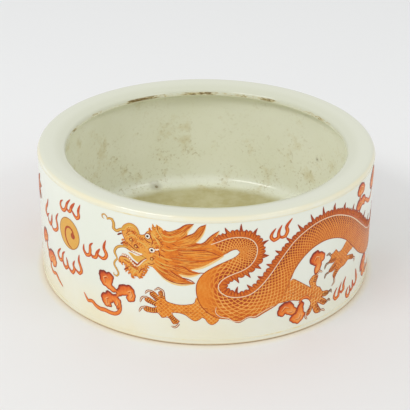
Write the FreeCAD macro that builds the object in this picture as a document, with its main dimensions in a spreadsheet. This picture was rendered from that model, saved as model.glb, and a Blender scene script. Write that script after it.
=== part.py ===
import FreeCAD, Part
import math
import os
import Sketcher

Vector = FreeCAD.Vector
Point2d = FreeCAD.Base.Vector2d

# A round porcelain brush washer: a low drum with an upright wall, an in-turned rim, a flat floor
# and a bare foot ring. Two gilt lines and thin overglaze enamels lie on its glazed wall: dragons
# that chase flaming pearls through clouds.

SIZES = {
    # drum
    "outer_radius": 100.0,
    "washer_height": 80.6,
    "wall_thickness": 8.4,
    "floor_thickness": 4.5,
    # rounded shoulder and in-turned lip
    "shoulder_rounding": 3.0,
    "lip_roll_rounding": 5.6,
    "lip_face_height": 1.2,
    "lip_nose_rounding": 2.2,
    "lip_flat_width": 1.9,
    "lip_root_rounding": 4.0,
    "floor_corner_rounding": 7.0,
    # foot ring and the recess inside it
    "foot_edge_rounding": 1.6,
    "foot_width": 6.0,
    "foot_height": 3.0,
    # gilding and enamel on the wall
    "gilt_thickness": 0.15,
    "gilt_line_height": 0.7,
    "shoulder_line_drop": 0.2,
    "foot_line_rise": 1.6,
    "enamel_thickness": 0.15,
    "enamel_margin": 0.4,
    "dragon_count": 2.0,
}

doc = FreeCAD.newDocument("brush_washer")
sheet = doc.addObject("Spreadsheet::Sheet", "Sizes")
for row, (name, value) in enumerate(SIZES.items(), start=1):
    sheet.set(f"A{row}", name)
    sheet.set(f"B{row}", str(value))
    sheet.setAlias(f"B{row}", name)
doc.recompute()


def total(*names):
    """A sum of sheet sizes as {name: share}; a leading minus takes the size away."""
    return {name.lstrip("-"): -1.0 if name[0] == "-" else 1.0 for name in names}


def plus(place, other, share=1.0):
    """The sum of one place and a share of another."""
    result = dict(place)
    for name, part in other.items():
        result[name] = result.get(name, 0.0) + part * share
    return result


def value(place):
    return sum(share * sheet.get(name) for name, share in place.items())


def formula(place):
    """The same sum as an expression that binds a constraint to the sheet."""
    return " + ".join(f"({share:.6f}) * Sizes.{name}" for name, share in place.items())


# Radii and heights of the turned shape, each a sum of sheet sizes.
AXIS = total()
TABLE = total()
NONE = total()
WALL = total("outer_radius")
TOP = total("washer_height")
INNER_WALL = total("outer_radius", "-wall_thickness")
MOUTH = plus(INNER_WALL, total("-lip_root_rounding", "-lip_flat_width", "-lip_nose_rounding"))
LIP_UNDERSIDE = plus(TOP, total("-lip_roll_rounding", "-lip_face_height", "-lip_nose_rounding"))
BASE = total("foot_height")
FLOOR = plus(BASE, total("floor_thickness"))
FOOT_INSIDE = total("outer_radius", "-foot_edge_rounding", "-foot_width")
FOOT_LINE_LOW = total("foot_edge_rounding", "foot_line_rise")
FOOT_LINE_TOP = plus(FOOT_LINE_LOW, total("gilt_line_height"))
SHOULDER_LINE_LOW = plus(TOP, total("-shoulder_rounding", "-shoulder_line_drop", "-gilt_line_height"))


def direction(start, end):
    """The way from one corner to the next along a level or upright line, as -1, 0 or 1 each way."""
    across = value(end[0]) - value(start[0])
    up = value(end[1]) - value(start[1])
    return (math.copysign(1, across), 0) if abs(across) > abs(up) else (0, math.copysign(1, up))


def rounded(corners):
    """Outline points of a level and upright profile whose corners are turned in a few flats.

    A corner is (radius, height, rounding, flats). A rounded corner gives flats + 1 points on the
    quarter circle that would round it.
    """
    points = []
    for index, (radius, height, rounding, flats) in enumerate(corners):
        if not flats:
            points.append((radius, height))
            continue
        came = direction(corners[index - 1], corners[index])
        goes = direction(corners[index], corners[(index + 1) % len(corners)])
        for step in range(flats + 1):
            angle = step * math.pi / 2 / flats
            back = 1 - math.sin(angle)
            on = 1 - math.cos(angle)
            points.append((
                plus(radius, rounding, goes[0] * on - came[0] * back),
                plus(height, rounding, goes[1] * on - came[1] * back),
            ))
    return points


def turned_piece(label, corners):
    """A body turned about the upright axis from one closed profile bound to the sheet."""
    body = doc.addObject("PartDesign::Body", label)
    body.Label = label
    sketch = body.newObject("Sketcher::SketchObject", label + "_profile")
    upright = next(plane for plane in body.Origin.OriginFeatures if plane.Role == "XZ_Plane")
    sketch.AttachmentSupport = (upright, [""])
    sketch.MapMode = "FlatFace"
    points = rounded(corners)
    places = [Vector(value(radius), value(height), 0) for radius, height in points]
    lines = [
        sketch.addGeometry(Part.LineSegment(start, end), False)
        for start, end in zip(places, places[1:] + places[:1])
    ]
    for line, following in zip(lines, lines[1:] + lines[:1]):
        sketch.addConstraint(Sketcher.Constraint("Coincident", line, 2, following, 1))
    for line, (radius, height) in zip(lines, points):
        for distance, place, axis in (("DistanceX", radius, -2), ("DistanceY", height, -1)):
            if not place:
                sketch.addConstraint(Sketcher.Constraint("PointOnObject", line, 1, axis))
                continue
            measure = Sketcher.Constraint(distance, -1, 1, line, 1, value(place))
            bound = sketch.addConstraint(measure)
            sketch.setExpression(f"Constraints[{bound}]", formula(place))
    turning = body.newObject("PartDesign::Revolution", label + "_turning")
    turning.Profile = sketch
    turning.ReferenceAxis = (sketch, ["V_Axis"])
    turning.Angle = 360
    return body


def porcelain_body():
    """The thrown and turned vessel: wall, shoulder, in-turned lip, floor and bare foot ring."""
    return turned_piece("porcelain_body", [
        (FOOT_INSIDE, TABLE, NONE, 0),
        (WALL, TABLE, total("foot_edge_rounding"), 1),
        (WALL, TOP, total("shoulder_rounding"), 2),
        (MOUTH, TOP, total("lip_roll_rounding"), 3),
        (MOUTH, LIP_UNDERSIDE, total("lip_nose_rounding"), 1),
        (INNER_WALL, LIP_UNDERSIDE, total("lip_root_rounding"), 1),
        (INNER_WALL, FLOOR, total("floor_corner_rounding"), 2),
        (AXIS, FLOOR, NONE, 0),
        (AXIS, BASE, NONE, 0),
        (FOOT_INSIDE, BASE, NONE, 0),
    ])


def gilt_line(label, low):
    """A narrow brushed line of gilding round the glazed wall."""
    top = plus(low, total("gilt_line_height"))
    proud = plus(WALL, total("gilt_thickness"))
    return turned_piece(label, [
        (WALL, low, NONE, 0), (proud, low, NONE, 0), (proud, top, NONE, 0), (WALL, top, NONE, 0),
    ])


# The painting is drawn flat, in millimetres along the wall and above the table, on a strip that
# holds one dragon and one pearl. The strip is then stretched to its share of the real wall,
# between the two gilt lines.
STRIP_LENGTH = 314.16
STRIP_START = -157.08
STRIP_LOW = 4.3
STRIP_HIGH = 76.3


def on_wall(point):
    """A point of the flat drawing as its angle round the wall and its height."""
    angle = (point.x - STRIP_START) / STRIP_LENGTH * 2 * math.pi / sheet.get("dragon_count")
    low = value(FOOT_LINE_TOP) + sheet.get("enamel_margin")
    high = value(SHOULDER_LINE_LOW) - sheet.get("enamel_margin")
    return Point2d(angle, low + (point.y - STRIP_LOW) / (STRIP_HIGH - STRIP_LOW) * (high - low))


def wall_surface(radius):
    """The upright wall as an endless cylinder whose own start lies at the left, clear of a strip."""
    surface = Part.Cylinder()
    surface.Radius = radius
    surface.rotate(FreeCAD.Placement(Vector(), FreeCAD.Rotation(Vector(0, 0, 1), 180)))
    return surface


def smooth(points):
    """A smooth flat curve through the given points."""
    curve = Part.Geom2d.BSplineCurve2d()
    curve.interpolate([Point2d(*point) for point in points])
    return curve


def bent(points):
    """One side of an outline laid on the wall: a straight side for two points, else a curve."""
    if len(points) == 2:
        return Part.Geom2d.Line2dSegment(on_wall(Point2d(*points[0])), on_wall(Point2d(*points[1])))
    flat = smooth(points)
    poles = [on_wall(pole) for pole in flat.getPoles()]
    shares = flat.getMultiplicities()
    curve = Part.Geom2d.BSplineCurve2d()
    curve.buildFromPolesMultsKnots(poles, shares, flat.getKnots(), False, flat.Degree)
    return curve


def straight_sides(corners):
    return [[start, end] for start, end in zip(corners, corners[1:] + corners[:1])]


def enamel_film(sides):
    """A thin solid of enamel on the wall inside a closed outline, given as its sides in turn."""
    points = [point for side in sides for point in side]
    area = sum(a[0] * b[1] - b[0] * a[1] for a, b in zip(points, points[1:] + points[:1]))
    if area < 0:
        sides = [side[::-1] for side in sides[::-1]]
    curves = [bent(side) for side in sides]
    skins = []
    wall = sheet.get("outer_radius")
    for radius in (wall, wall + sheet.get("enamel_thickness")):
        surface = wall_surface(radius)
        wire = Part.Wire([curve.toShape(surface) for curve in curves])
        wire.fix(1e-5, 1e-5, 1e-3)
        skins.append(Part.Face(surface, wire))
    rim = Part.makeRuledSurface(skins[0].OuterWire, skins[1].OuterWire)
    shell = Part.makeShell(skins + rim.Faces)
    shell.sewShape(1e-3)
    film = Part.makeSolid(shell)
    if film.Volume < 0:
        film.reverse()
    return film


def brush_stroke(points, start_width, end_width):
    """The outline of one brush stroke along the given points, from its first width to its last."""
    left, right = [], []
    for index, (x, z) in enumerate(points):
        before = points[max(index - 1, 0)]
        after = points[min(index + 1, len(points) - 1)]
        length = math.hypot(after[0] - before[0], after[1] - before[1])
        half = (start_width + (end_width - start_width) * index / (len(points) - 1)) / 2
        across = (-(after[1] - before[1]) / length * half, (after[0] - before[0]) / length * half)
        left.append((x + across[0], z + across[1]))
        right.append((x - across[0], z - across[1]))
    return straight_sides(left + right[::-1])


def placed(outline, x, z, across, up, turn=0.0):
    """A unit outline scaled, turned and put at a place of the drawing."""
    cosine, sine = math.cos(math.radians(turn)), math.sin(math.radians(turn))
    return straight_sides([
        (x + u * across * cosine - v * up * sine, z + u * across * sine + v * up * cosine)
        for u, v in outline
    ])


FLAME_LICK = [
    (-0.10, 0.68), (-0.50, 0.35), (-0.35, 0.05), (0.15, 0.0), (0.50, 0.22),
    (0.80, 1.0), (0.28, 0.40), (0.0, 0.20), (-0.22, 0.36),
]
CLOUD_HEAD = [
    (-1.0, 0.2), (-0.85, 0.72), (-0.4, 0.95), (0.0, 0.75), (0.4, 0.95), (0.85, 0.72), (1.0, 0.2),
    (0.6, -0.15), (0.3, -0.9), (-0.3, -0.9), (-0.6, -0.15),
]
DISC = [(math.cos(step * math.pi / 10), math.sin(step * math.pi / 10)) for step in range(20)]


def pearl():
    return [placed(DISC, -86.8, 50.5, 9.3, 9.5)]


def pearl_flames():
    """Licks of flame above, below and on both sides of the pearl: (x, z, width, height)."""
    licks = [
        (-93.0, 63.0, 5.2, 7.6), (-86.6, 64.4, 4.8, 8.6), (-80.0, 63.0, 4.8, 9.4),
        (-98.6, 27.6, 5.0, 8.8), (-92.4, 25.6, 5.0, 9.4), (-85.6, 25.2, 4.8, 9.2),
        (-79.2, 27.6, 4.8, 11.6),
        (-115.6, 49.0, 4.6, 11.0), (-110.0, 46.0, 4.6, 7.6), (-104.6, 44.4, 4.4, 8.8),
        (-99.4, 52.4, 2.2, 6.4),
        (-72.0, 42.8, 4.8, 8.6), (-65.8, 43.2, 4.6, 9.4), (-59.6, 45.2, 4.4, 11.6),
    ]
    return [placed(FLAME_LICK, *lick) for lick in licks]


def loose_flames():
    """Small flames that fly off behind the dragon: (x, z, width, height)."""
    licks = [
        (37.6, 63.2, 3.8, 7.4), (42.8, 63.8, 3.6, 9.6),
        (85.0, 10.4, 4.0, 8.2), (90.6, 12.4, 3.8, 8.4),
        (98.0, 6.0, 3.6, 7.0), (102.8, 8.2, 3.4, 7.2), (107.4, 9.0, 3.6, 10.8),
    ]
    return [placed(FLAME_LICK, *lick) for lick in licks]


def clouds():
    """Fungus-headed clouds, each with a trailing tail: heads are (x, z, across, up, turn)."""
    heads = [
        (-57.6, 32.2, 4.9, 4.9, 8.0), (-56.8, 19.6, 4.6, 4.8, 78.0), (-43.8, 27.8, 4.6, 4.8, -58.0),
        (66.8, 44.6, 5.3, 4.4, -6.0), (46.2, 17.4, 4.4, 4.2, 52.0), (54.6, 10.6, 4.6, 4.4, -152.0),
        (-109.0, 24.4, 5.0, 4.6, 6.0), (-121.0, 32.0, 4.6, 4.4, 40.0), (107.4, 71.6, 4.6, 3.6, -20.0),
        (122.0, 10.8, 5.4, 4.6, 30.0),
    ]
    tails = [
        [(-50.0, 22.6), (-48.6, 18.6), (-50.6, 14.0), (-56.0, 12.0), (-62.0, 12.2), (-68.4, 14.0),
         (-71.8, 13.2), (-75.0, 17.2)],
        [(67.4, 39.4), (67.6, 37.6), (66.4, 36.0)],
        [(-112.4, 17.6), (-108.0, 15.2), (-103.0, 15.8), (-96.4, 11.4)],
        [(104.0, 64.6), (110.0, 65.4), (117.0, 61.0), (125.0, 56.6)],
        [(127.0, 7.0), (133.0, 8.4), (140.0, 6.4)],
    ]
    films = [placed(CLOUD_HEAD, *head) for head in heads]
    return films + [brush_stroke(tail, 2.6, 0.6) for tail in tails]


def dragon_head():
    """Head in profile, facing the pearl: brow, horn, snout, open mouth, jaw and beard."""
    snout = [(-36.2, 66.3), (-37.0, 69.3), (-40.0, 71.1), (-44.0, 69.6), (-46.4, 66.0)]
    face = [
        (-46.4, 66.0), (-45.4, 62.6), (-44.2, 60.0), (-46.2, 58.2), (-44.8, 56.6), (-41.0, 54.8),
        (-36.0, 53.6), (-32.2, 52.4), (-35.2, 50.2), (-37.4, 47.4), (-39.8, 48.9), (-43.0, 50.4),
        (-47.4, 50.2), (-48.8, 48.2), (-47.4, 46.2), (-44.6, 46.6), (-43.2, 43.4), (-40.6, 38.6),
        (-38.2, 40.4), (-36.2, 38.6), (-34.4, 42.2), (-33.4, 46.0), (-31.0, 47.9), (-27.9, 47.3),
        (-24.0, 54.0), (-21.5, 60.0), (-20.7, 66.0), (-22.6, 71.3), (-26.3, 73.9), (-27.6, 70.4),
        (-29.8, 69.8), (-31.8, 68.4), (-33.6, 66.2), (-36.2, 66.3),
    ]
    return [[snout] + [[start, end] for start, end in zip(face, face[1:])]]


def dragon_whiskers():
    """Two long feelers that curl up from the snout and down from the jaw."""
    upper = [
        (-47.9, 66.4), (-50.0, 65.2), (-51.9, 66.2), (-51.4, 69.4), (-52.8, 71.8), (-55.8, 70.6),
        (-57.8, 73.2),
    ]
    lower = [
        (-46.8, 56.0), (-49.8, 54.6), (-51.4, 51.4), (-50.9, 47.6), (-51.8, 44.0), (-49.6, 40.4),
        (-51.2, 36.8),
    ]
    return [brush_stroke(upper, 1.5, 0.5), brush_stroke(lower, 1.4, 0.5)]


def dragon_mane():
    """Locks of hair that stream back from the head."""
    locks = [
        (-21.9, 71.2), (-19.0, 70.4), (-14.5, 72.3), (-10.5, 75.2), (-6.0, 76.0), (-9.3, 72.3),
        (-9.8, 68.6), (-6.0, 70.5), (-3.0, 74.2), (0.4, 75.9), (-1.3, 70.5), (-5.2, 64.8),
        (-1.0, 64.6), (3.2, 69.2), (7.4, 72.2), (5.2, 69.6), (3.2, 66.6), (10.2, 57.4),
        (5.0, 54.2), (-1.0, 50.6), (-8.0, 48.4), (-5.0, 46.8), (-2.2, 46.2), (-8.0, 44.6),
        (-14.5, 45.2), (-11.0, 42.4), (-5.4, 39.9), (-14.0, 39.2), (-21.0, 41.4), (-27.2, 46.8),
        (-23.5, 53.8), (-21.0, 60.0), (-20.2, 66.0),
    ]
    return [straight_sides(locks)]


# The serpent body between its back, which carries the fin, and its belly.
BACK = [
    (4.2, 66.6), (9.0, 69.2), (14.5, 70.9), (20.5, 70.8), (26.0, 68.6), (30.3, 63.8), (31.6, 57.5),
    (29.6, 50.8), (24.0, 46.0), (17.5, 43.2), (12.9, 41.2), (11.2, 38.3), (12.6, 35.5), (17.0, 33.2),
    (22.0, 33.3), (28.0, 37.3), (34.0, 44.0), (39.0, 51.0), (45.0, 58.0), (53.0, 64.2), (61.0, 68.3),
    (70.0, 70.3), (79.0, 69.6), (88.0, 67.0), (97.0, 62.7), (106.0, 57.0), (115.0, 50.0),
    (124.0, 43.3), (133.0, 40.2), (142.0, 41.4), (150.0, 46.2), (157.0, 52.6), (165.0, 58.2),
    (172.0, 60.8),
]
BELLY = [
    [(172.0, 60.8), (172.6, 56.4)],
    [(172.6, 56.4), (166.0, 50.5), (160.0, 40.5), (153.0, 30.8), (144.0, 24.6), (134.0, 22.0),
     (124.0, 22.6), (116.0, 26.4), (109.0, 30.9), (101.0, 38.0), (93.0, 45.6), (84.0, 51.0),
     (74.0, 53.6), (65.0, 52.6), (58.0, 48.9), (52.0, 42.5), (49.2, 36.5)],
    [(49.2, 36.5), (46.5, 29.5), (42.5, 23.0)],
    [(42.5, 23.0), (38.0, 20.5), (33.0, 18.3)],
    [(33.0, 18.3), (28.5, 16.2), (24.5, 16.8)],
    [(24.5, 16.8), (19.0, 14.2), (13.2, 17.0)],
    [(13.2, 17.0), (8.0, 17.8), (3.0, 20.7), (-1.2, 25.0), (-3.6, 30.0), (-4.6, 36.0), (-3.8, 41.2),
     (-0.4, 46.4), (5.0, 50.3), (12.0, 53.8), (16.8, 56.2)],
    [(16.8, 56.2), (18.7, 58.6), (17.2, 60.3), (14.0, 59.9), (11.0, 57.9)],
    [(11.0, 57.9), (4.2, 66.6)],
]
FIN_TIPS = [
    (10.5, 73.2), (19.0, 74.8), (27.6, 71.4), (33.8, 63.6), (34.3, 54.6), (30.4, 47.4), (24.6, 42.8),
    (18.4, 40.2), (17.8, 36.6), (23.4, 37.4), (29.4, 42.2), (34.2, 48.8), (39.2, 56.2), (45.4, 62.8),
    (52.4, 68.8), (60.6, 72.6), (69.2, 74.6), (78.8, 73.6), (88.4, 70.6), (98.0, 66.0), (107.4, 60.2),
    (116.4, 53.4), (125.6, 47.0), (135.4, 44.6), (144.6, 46.6), (151.4, 51.4), (158.0, 57.2),
    (166.0, 62.4),
]
FIN_HALF_BASE = 1.5


def dragon_body():
    """The scaled body: a loop behind the neck, a low saddle, a high arch and the tail root."""
    back = smooth(BACK)
    first, end = back.FirstParameter, back.LastParameter
    reach = FIN_HALF_BASE * (end - first) / back.length(first, end)
    points = [BACK[0]]
    for tip in FIN_TIPS:
        foot = back.parameter(Point2d(*tip))
        before, after = back.value(foot - reach), back.value(foot + reach)
        points += [(before.x, before.y), tip, (after.x, after.y)]
    points.append(BACK[-1])
    return [[[start, end] for start, end in zip(points, points[1:])] + BELLY]


def dragon_forelegs():
    """The near and far forelegs with four spread toes, hooked claws and tufts at the elbow."""
    left = [
        (-4.7, 31.0), (-3.9, 28.6), (-1.8, 24.6), (2.4, 20.2), (7.2, 17.4), (6.6, 15.0), (4.4, 13.7),
        (2.0, 15.0), (0.4, 17.6), (-1.2, 18.4), (-3.0, 16.8), (-5.0, 16.0), (-7.4, 17.2), (-10.5, 19.6),
        (-14.5, 20.6), (-18.2, 20.2), (-16.6, 17.8), (-13.6, 15.2), (-14.6, 14.0), (-17.0, 12.8),
        (-18.8, 16.0), (-20.6, 17.8), (-22.4, 16.3), (-24.4, 17.0), (-25.0, 19.2), (-33.4, 18.7),
        (-36.6, 17.4), (-34.0, 22.0), (-27.6, 21.8), (-26.3, 23.0), (-33.2, 24.4), (-36.0, 23.8),
        (-32.8, 28.2), (-26.4, 25.8), (-30.6, 29.6), (-33.0, 30.2), (-29.4, 33.0), (-27.4, 32.2),
        (-25.2, 34.3), (-22.4, 33.0), (-22.0, 29.0), (-20.0, 26.8), (-15.0, 25.8), (-10.0, 26.0),
        (-5.4, 27.2),
    ]
    right = [
        (50.6, 36.0), (47.6, 29.4), (44.0, 22.9), (49.6, 23.0), (55.4, 20.9), (60.2, 20.5), (63.4, 17.6),
        (63.4, 14.4), (60.6, 11.0), (61.6, 7.2), (64.4, 11.0), (65.2, 13.8), (66.6, 9.8), (69.2, 7.6),
        (73.4, 7.8), (70.6, 11.2), (68.4, 15.6), (71.4, 13.4), (74.6, 11.2), (78.0, 13.0), (76.2, 14.0),
        (71.6, 17.8), (77.0, 16.6), (79.4, 18.6), (76.4, 20.2), (72.6, 21.0), (70.2, 24.6), (67.2, 26.6),
        (67.4, 30.2), (69.2, 33.2), (66.2, 34.6), (64.0, 33.6), (61.6, 31.2), (63.4, 26.6), (60.0, 29.2),
        (56.0, 33.0), (52.4, 37.3),
    ]
    return [straight_sides(left), straight_sides(right)]


def dragon_hind_legs():
    """The near leg under the high arch and the far leg below the tail root."""
    near = [
        (92.4, 44.6), (96.2, 40.8), (100.2, 37.2), (96.6, 37.0), (93.4, 35.6), (96.6, 34.6),
        (101.6, 32.6), (102.6, 28.4), (99.4, 30.0), (95.6, 32.0), (92.0, 30.4), (87.0, 29.8),
        (83.6, 27.0), (82.4, 23.6), (80.8, 29.0), (83.6, 32.0), (79.4, 31.0), (75.6, 31.4),
        (79.0, 34.6), (82.4, 36.6), (78.6, 37.0), (74.6, 37.4), (78.2, 40.6), (77.0, 42.6),
        (80.6, 43.0), (82.2, 45.0), (84.8, 41.2), (88.0, 42.0),
    ]
    far = [
        (140.2, 22.4), (147.2, 25.8), (152.0, 22.4), (156.4, 17.6), (158.6, 14.0), (163.0, 16.2),
        (167.0, 14.4), (162.8, 12.2), (165.6, 9.0), (160.8, 7.4), (158.4, 10.2), (155.6, 6.6),
        (154.6, 10.6), (151.2, 8.2), (151.4, 12.8), (147.6, 17.2), (143.0, 20.2),
    ]
    return [straight_sides(near), straight_sides(far)]


def dragon_tail():
    """The tuft of flame-like hairs that ends the tail."""
    fan = [
        (173.0, 60.6), (177.0, 65.0), (184.0, 69.4), (181.0, 63.6), (188.0, 62.8), (182.0, 59.4),
        (186.4, 54.0), (179.4, 56.4), (179.0, 50.6), (173.5, 56.6),
    ]
    return [straight_sides(fan)]


MOTIFS = [
    pearl, pearl_flames, loose_flames, clouds, dragon_head, dragon_whiskers, dragon_mane, dragon_body,
    dragon_forelegs, dragon_hind_legs, dragon_tail,
]


def painting():
    """Every motif as enamel films, once for each dragon, turned on round the wall."""
    count = round(sheet.get("dragon_count"))
    for motif in MOTIFS:
        films = [enamel_film(outline) for outline in motif()]
        for number in range(count):
            piece = doc.addObject("Part::Feature", f"{motif.__name__}_{number + 1}")
            piece.Label = f"{motif.__name__}_{number + 1}"
            piece.Shape = Part.makeCompound(films) if len(films) > 1 else films[0]
            turn = FreeCAD.Rotation(Vector(0, 0, 1), 360 * number / count)
            piece.Placement = FreeCAD.Placement(Vector(), turn)


def main():
    porcelain_body()
    gilt_line("shoulder_gilt_line", SHOULDER_LINE_LOW)
    gilt_line("foot_gilt_line", FOOT_LINE_LOW)
    painting()
    doc.recompute()
    for thing in doc.Objects:
        if "Invalid" in thing.State or "Error" in thing.State:
            raise RuntimeError(f"{thing.Label} failed: {thing.State}")
    pieces = [thing for thing in doc.Objects if thing.TypeId in ("PartDesign::Body", "Part::Feature")]
    for piece in pieces:
        if piece.Shape.isNull() or not piece.Shape.isValid():
            raise RuntimeError(f"{piece.Label} has no valid shape")
    os.makedirs("parts", exist_ok=True)
    for piece in pieces:
        piece.Shape.exportStep(f"parts/{piece.Label}.step")
        print(f"{piece.Label}: {len(piece.Shape.Solids)} solids, {piece.Shape.Volume:.2f} cubic mm")


main()
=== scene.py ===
import math
import random

import bmesh
import bpy
import numpy as np
from mathutils import Matrix, Vector
from mathutils.geometry import delaunay_2d_cdt


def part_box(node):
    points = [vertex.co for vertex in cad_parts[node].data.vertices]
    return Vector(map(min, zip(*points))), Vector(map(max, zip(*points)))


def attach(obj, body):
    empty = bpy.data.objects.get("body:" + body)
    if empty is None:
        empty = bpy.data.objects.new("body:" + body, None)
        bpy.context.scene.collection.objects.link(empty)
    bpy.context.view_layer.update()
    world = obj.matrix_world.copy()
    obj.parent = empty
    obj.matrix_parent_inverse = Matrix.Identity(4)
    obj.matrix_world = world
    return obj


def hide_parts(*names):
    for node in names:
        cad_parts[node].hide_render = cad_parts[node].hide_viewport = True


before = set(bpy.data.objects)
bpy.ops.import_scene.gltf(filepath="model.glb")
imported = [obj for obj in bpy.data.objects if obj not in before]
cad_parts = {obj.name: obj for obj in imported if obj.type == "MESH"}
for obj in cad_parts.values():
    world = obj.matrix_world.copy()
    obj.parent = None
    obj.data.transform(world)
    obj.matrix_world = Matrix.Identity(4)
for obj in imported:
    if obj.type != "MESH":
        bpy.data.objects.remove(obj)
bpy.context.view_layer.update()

# A round porcelain brush washer. The vessel is turned with true curves over the CAD body, and its
# overglaze painting is laid on the wall brush stroke by brush stroke. Drawing coordinates are
# millimetres along the wall from the front middle, to the right, and millimetres above the table.

MM = 0.001

# The vessel's sizes
WALL_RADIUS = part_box("porcelain_body")[1].x
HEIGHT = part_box("porcelain_body")[1].z
INNER_RADIUS = WALL_RADIUS - 8.4 * MM
MOUTH_RADIUS = 83.5 * MM
LIP_UNDERSIDE = 74.0 * MM
LIP_CREST_RADIUS = 91.5 * MM
LIP_SLOPE_END = 77.7 * MM
FLOOR_HEIGHT = 7.5 * MM
BASE_HEIGHT = 3.0 * MM
FOOT_INSIDE = 92.4 * MM
RING_SEGMENTS = 256

# How far the enamels stand off the glaze, in millimetres
WASH_LIFT = 0.07
LINE_LIFT = 0.10
LINE_CREST = 0.15
FILM_FOOT = -0.03

# Corners that turn by more than this, in degrees, stay sharp in a painted line
SHARP_TURN = 62.0
DOT_SIDES = 14

DRAGONS = 2


def srgb(red, green, blue):
    """A colour given as it looks, 0 to 255, in the linear values that shaders take."""
    channels = []
    for value in (red, green, blue):
        share = value / 255
        channels.append(share / 12.92 if share <= 0.04045 else ((share + 0.055) / 1.055) ** 2.4)
    return (*channels, 1.0)


# Node tree helpers

def new_material(name):
    material = bpy.data.materials.new(name)
    material.use_nodes = True
    tree = material.node_tree
    return material, tree, tree.nodes["Principled BSDF"]


def put(tree, kind, **settings):
    """Adds a node; settings name its properties, or its input sockets as in_0, in_1 and so on."""
    node = tree.nodes.new(kind)
    for name, value in settings.items():
        if name.startswith("in_"):
            socket = node.inputs[int(name[3:])]
            if isinstance(value, bpy.types.NodeSocket):
                tree.links.new(value, socket)
            else:
                socket.default_value = value
        else:
            setattr(node, name, value)
    return node


def math_node(tree, operation, first, second=0.0, clamp=False):
    node = put(tree, "ShaderNodeMath", operation=operation, in_0=first, in_1=second, use_clamp=clamp)
    return node.outputs[0]


def product(tree, first, *others):
    for other in others:
        first = math_node(tree, "MULTIPLY", first, other)
    return first


def total(tree, first, *others):
    for other in others:
        first = math_node(tree, "ADD", first, other)
    return first


def ramp_up(tree, value, low, high, start=0.0, end=1.0):
    """A smooth step of a value from one level to another."""
    node = put(tree, "ShaderNodeMapRange", interpolation_type="SMOOTHSTEP", in_0=value,
               in_1=low, in_2=high, in_3=start, in_4=end)
    return node.outputs[0]


def blend_colour(tree, share, first, second):
    node = put(tree, "ShaderNodeMix", data_type="RGBA")
    for socket, value in ((node.inputs[0], share), (node.inputs[6], first), (node.inputs[7], second)):
        if isinstance(value, bpy.types.NodeSocket):
            tree.links.new(value, socket)
        else:
            socket.default_value = value
    return node.outputs[2]


def noise(tree, vector, scale, detail=3.0, roughness=0.55):
    node = put(tree, "ShaderNodeTexNoise", in_0=vector)
    node.inputs["Scale"].default_value = scale
    node.inputs["Detail"].default_value = detail
    node.inputs["Roughness"].default_value = roughness
    return node.outputs["Fac"]


def attribute(tree, name):
    return put(tree, "ShaderNodeAttribute", attribute_name=name).outputs["Fac"]


def node_group(name, inputs, outputs):
    """An empty shader node group with its named sockets, and the nodes that stand for them inside."""
    group = bpy.data.node_groups.new(name, "ShaderNodeTree")
    for label in inputs:
        group.interface.new_socket(label, in_out="INPUT", socket_type="NodeSocketFloat")
    for label in outputs:
        group.interface.new_socket(label, in_out="OUTPUT", socket_type="NodeSocketFloat")
    return group, put(group, "NodeGroupInput").outputs, put(group, "NodeGroupOutput").inputs


# Glaze of the vessel

# Each change in the glaze runs between two heights or two radii, in metres
LOW_WALL_HEIGHTS = (0.034, 0.004)
TOP_HEIGHTS = (HEIGHT - 2.4 * MM, HEIGHT - 0.6 * MM)
TOP_RADII = (0.0975, 0.0960)
LIP_RADII = (0.0925, 0.0865)
HAZE_FROM_HEIGHTS = (0.0772, 0.0780)
HAZE_TO_HEIGHTS = (0.0803, 0.0792)
HAZE_RADII = (0.0970, 0.0985)
INSIDE_HEIGHTS = (0.0775, 0.0745)
INSIDE_RADII = (0.0955, 0.0935)
ABOVE_RECESS = 0.005
FLOOR_HEIGHTS = (0.020, 0.009)
FLOOR_RADII = (0.0885, 0.0770)
SPECK_HEIGHTS = (0.066, 0.020)
WORN_FROM_HEIGHTS = (0.0747, 0.0752)
WORN_TO_HEIGHTS = (0.0771, 0.0764)
WORN_RADII = (0.0854, 0.0846)
FOOT_HEIGHTS = (0.0016, 0.0006)
FOOT_RADII = (0.0915, 0.0925)

WALL_TONES = (srgb(240, 243, 232), srgb(235, 239, 225))
WARM_LOW_WALL = srgb(245, 236, 200)
TOP_TONE = srgb(220, 222, 204)
LIP_TONE = srgb(214, 216, 196)
GOLD_HAZE = srgb(246, 230, 182)
INNER_TONES = (srgb(245, 247, 231), srgb(240, 242, 222))
INNER_STAIN = srgb(210, 198, 148)
FLOOR_TONES = (srgb(200, 194, 152), srgb(180, 169, 118))
SPECK_TONE = srgb(178, 164, 114)
PIT_TONE = srgb(122, 104, 62)
STAINED_LIP = srgb(206, 192, 142)
CHIPPED_LIP = srgb(112, 88, 46)
BISCUIT_TONES = (srgb(214, 190, 150), srgb(190, 162, 120))

# Where the lip is worn brown: degrees from the back, clockwise seen from above, and how much
LIP_WEAR = [
    (-84, 0.1), (-76, 0.8), (-68, 0.1), (-54, 0.6), (-48, 0.2), (-39, 0.3), (-36, 1.1), (-29, 1.1),
    (-20, 0.5), (-14, 0.1), (-9, 0.8), (2, 0.9), (6, 0.1), (15, 0.6), (21, 0.3), (26, 0.9), (30, 0.9),
    (34, 0.1), (60, 0.5), (68, 0.1),
]
UNWORN = (0.1, 0.1, 0.1, 1.0)

# A brown smudge low at the back and a single dark pit on the right of the inner wall
STAINS = [((-0.0335, 0.0808, 0.0090), 0.0030), ((0.0722, 0.0564, 0.0415), 0.0011)]
PITS_PER_METRE = 110.0


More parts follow.
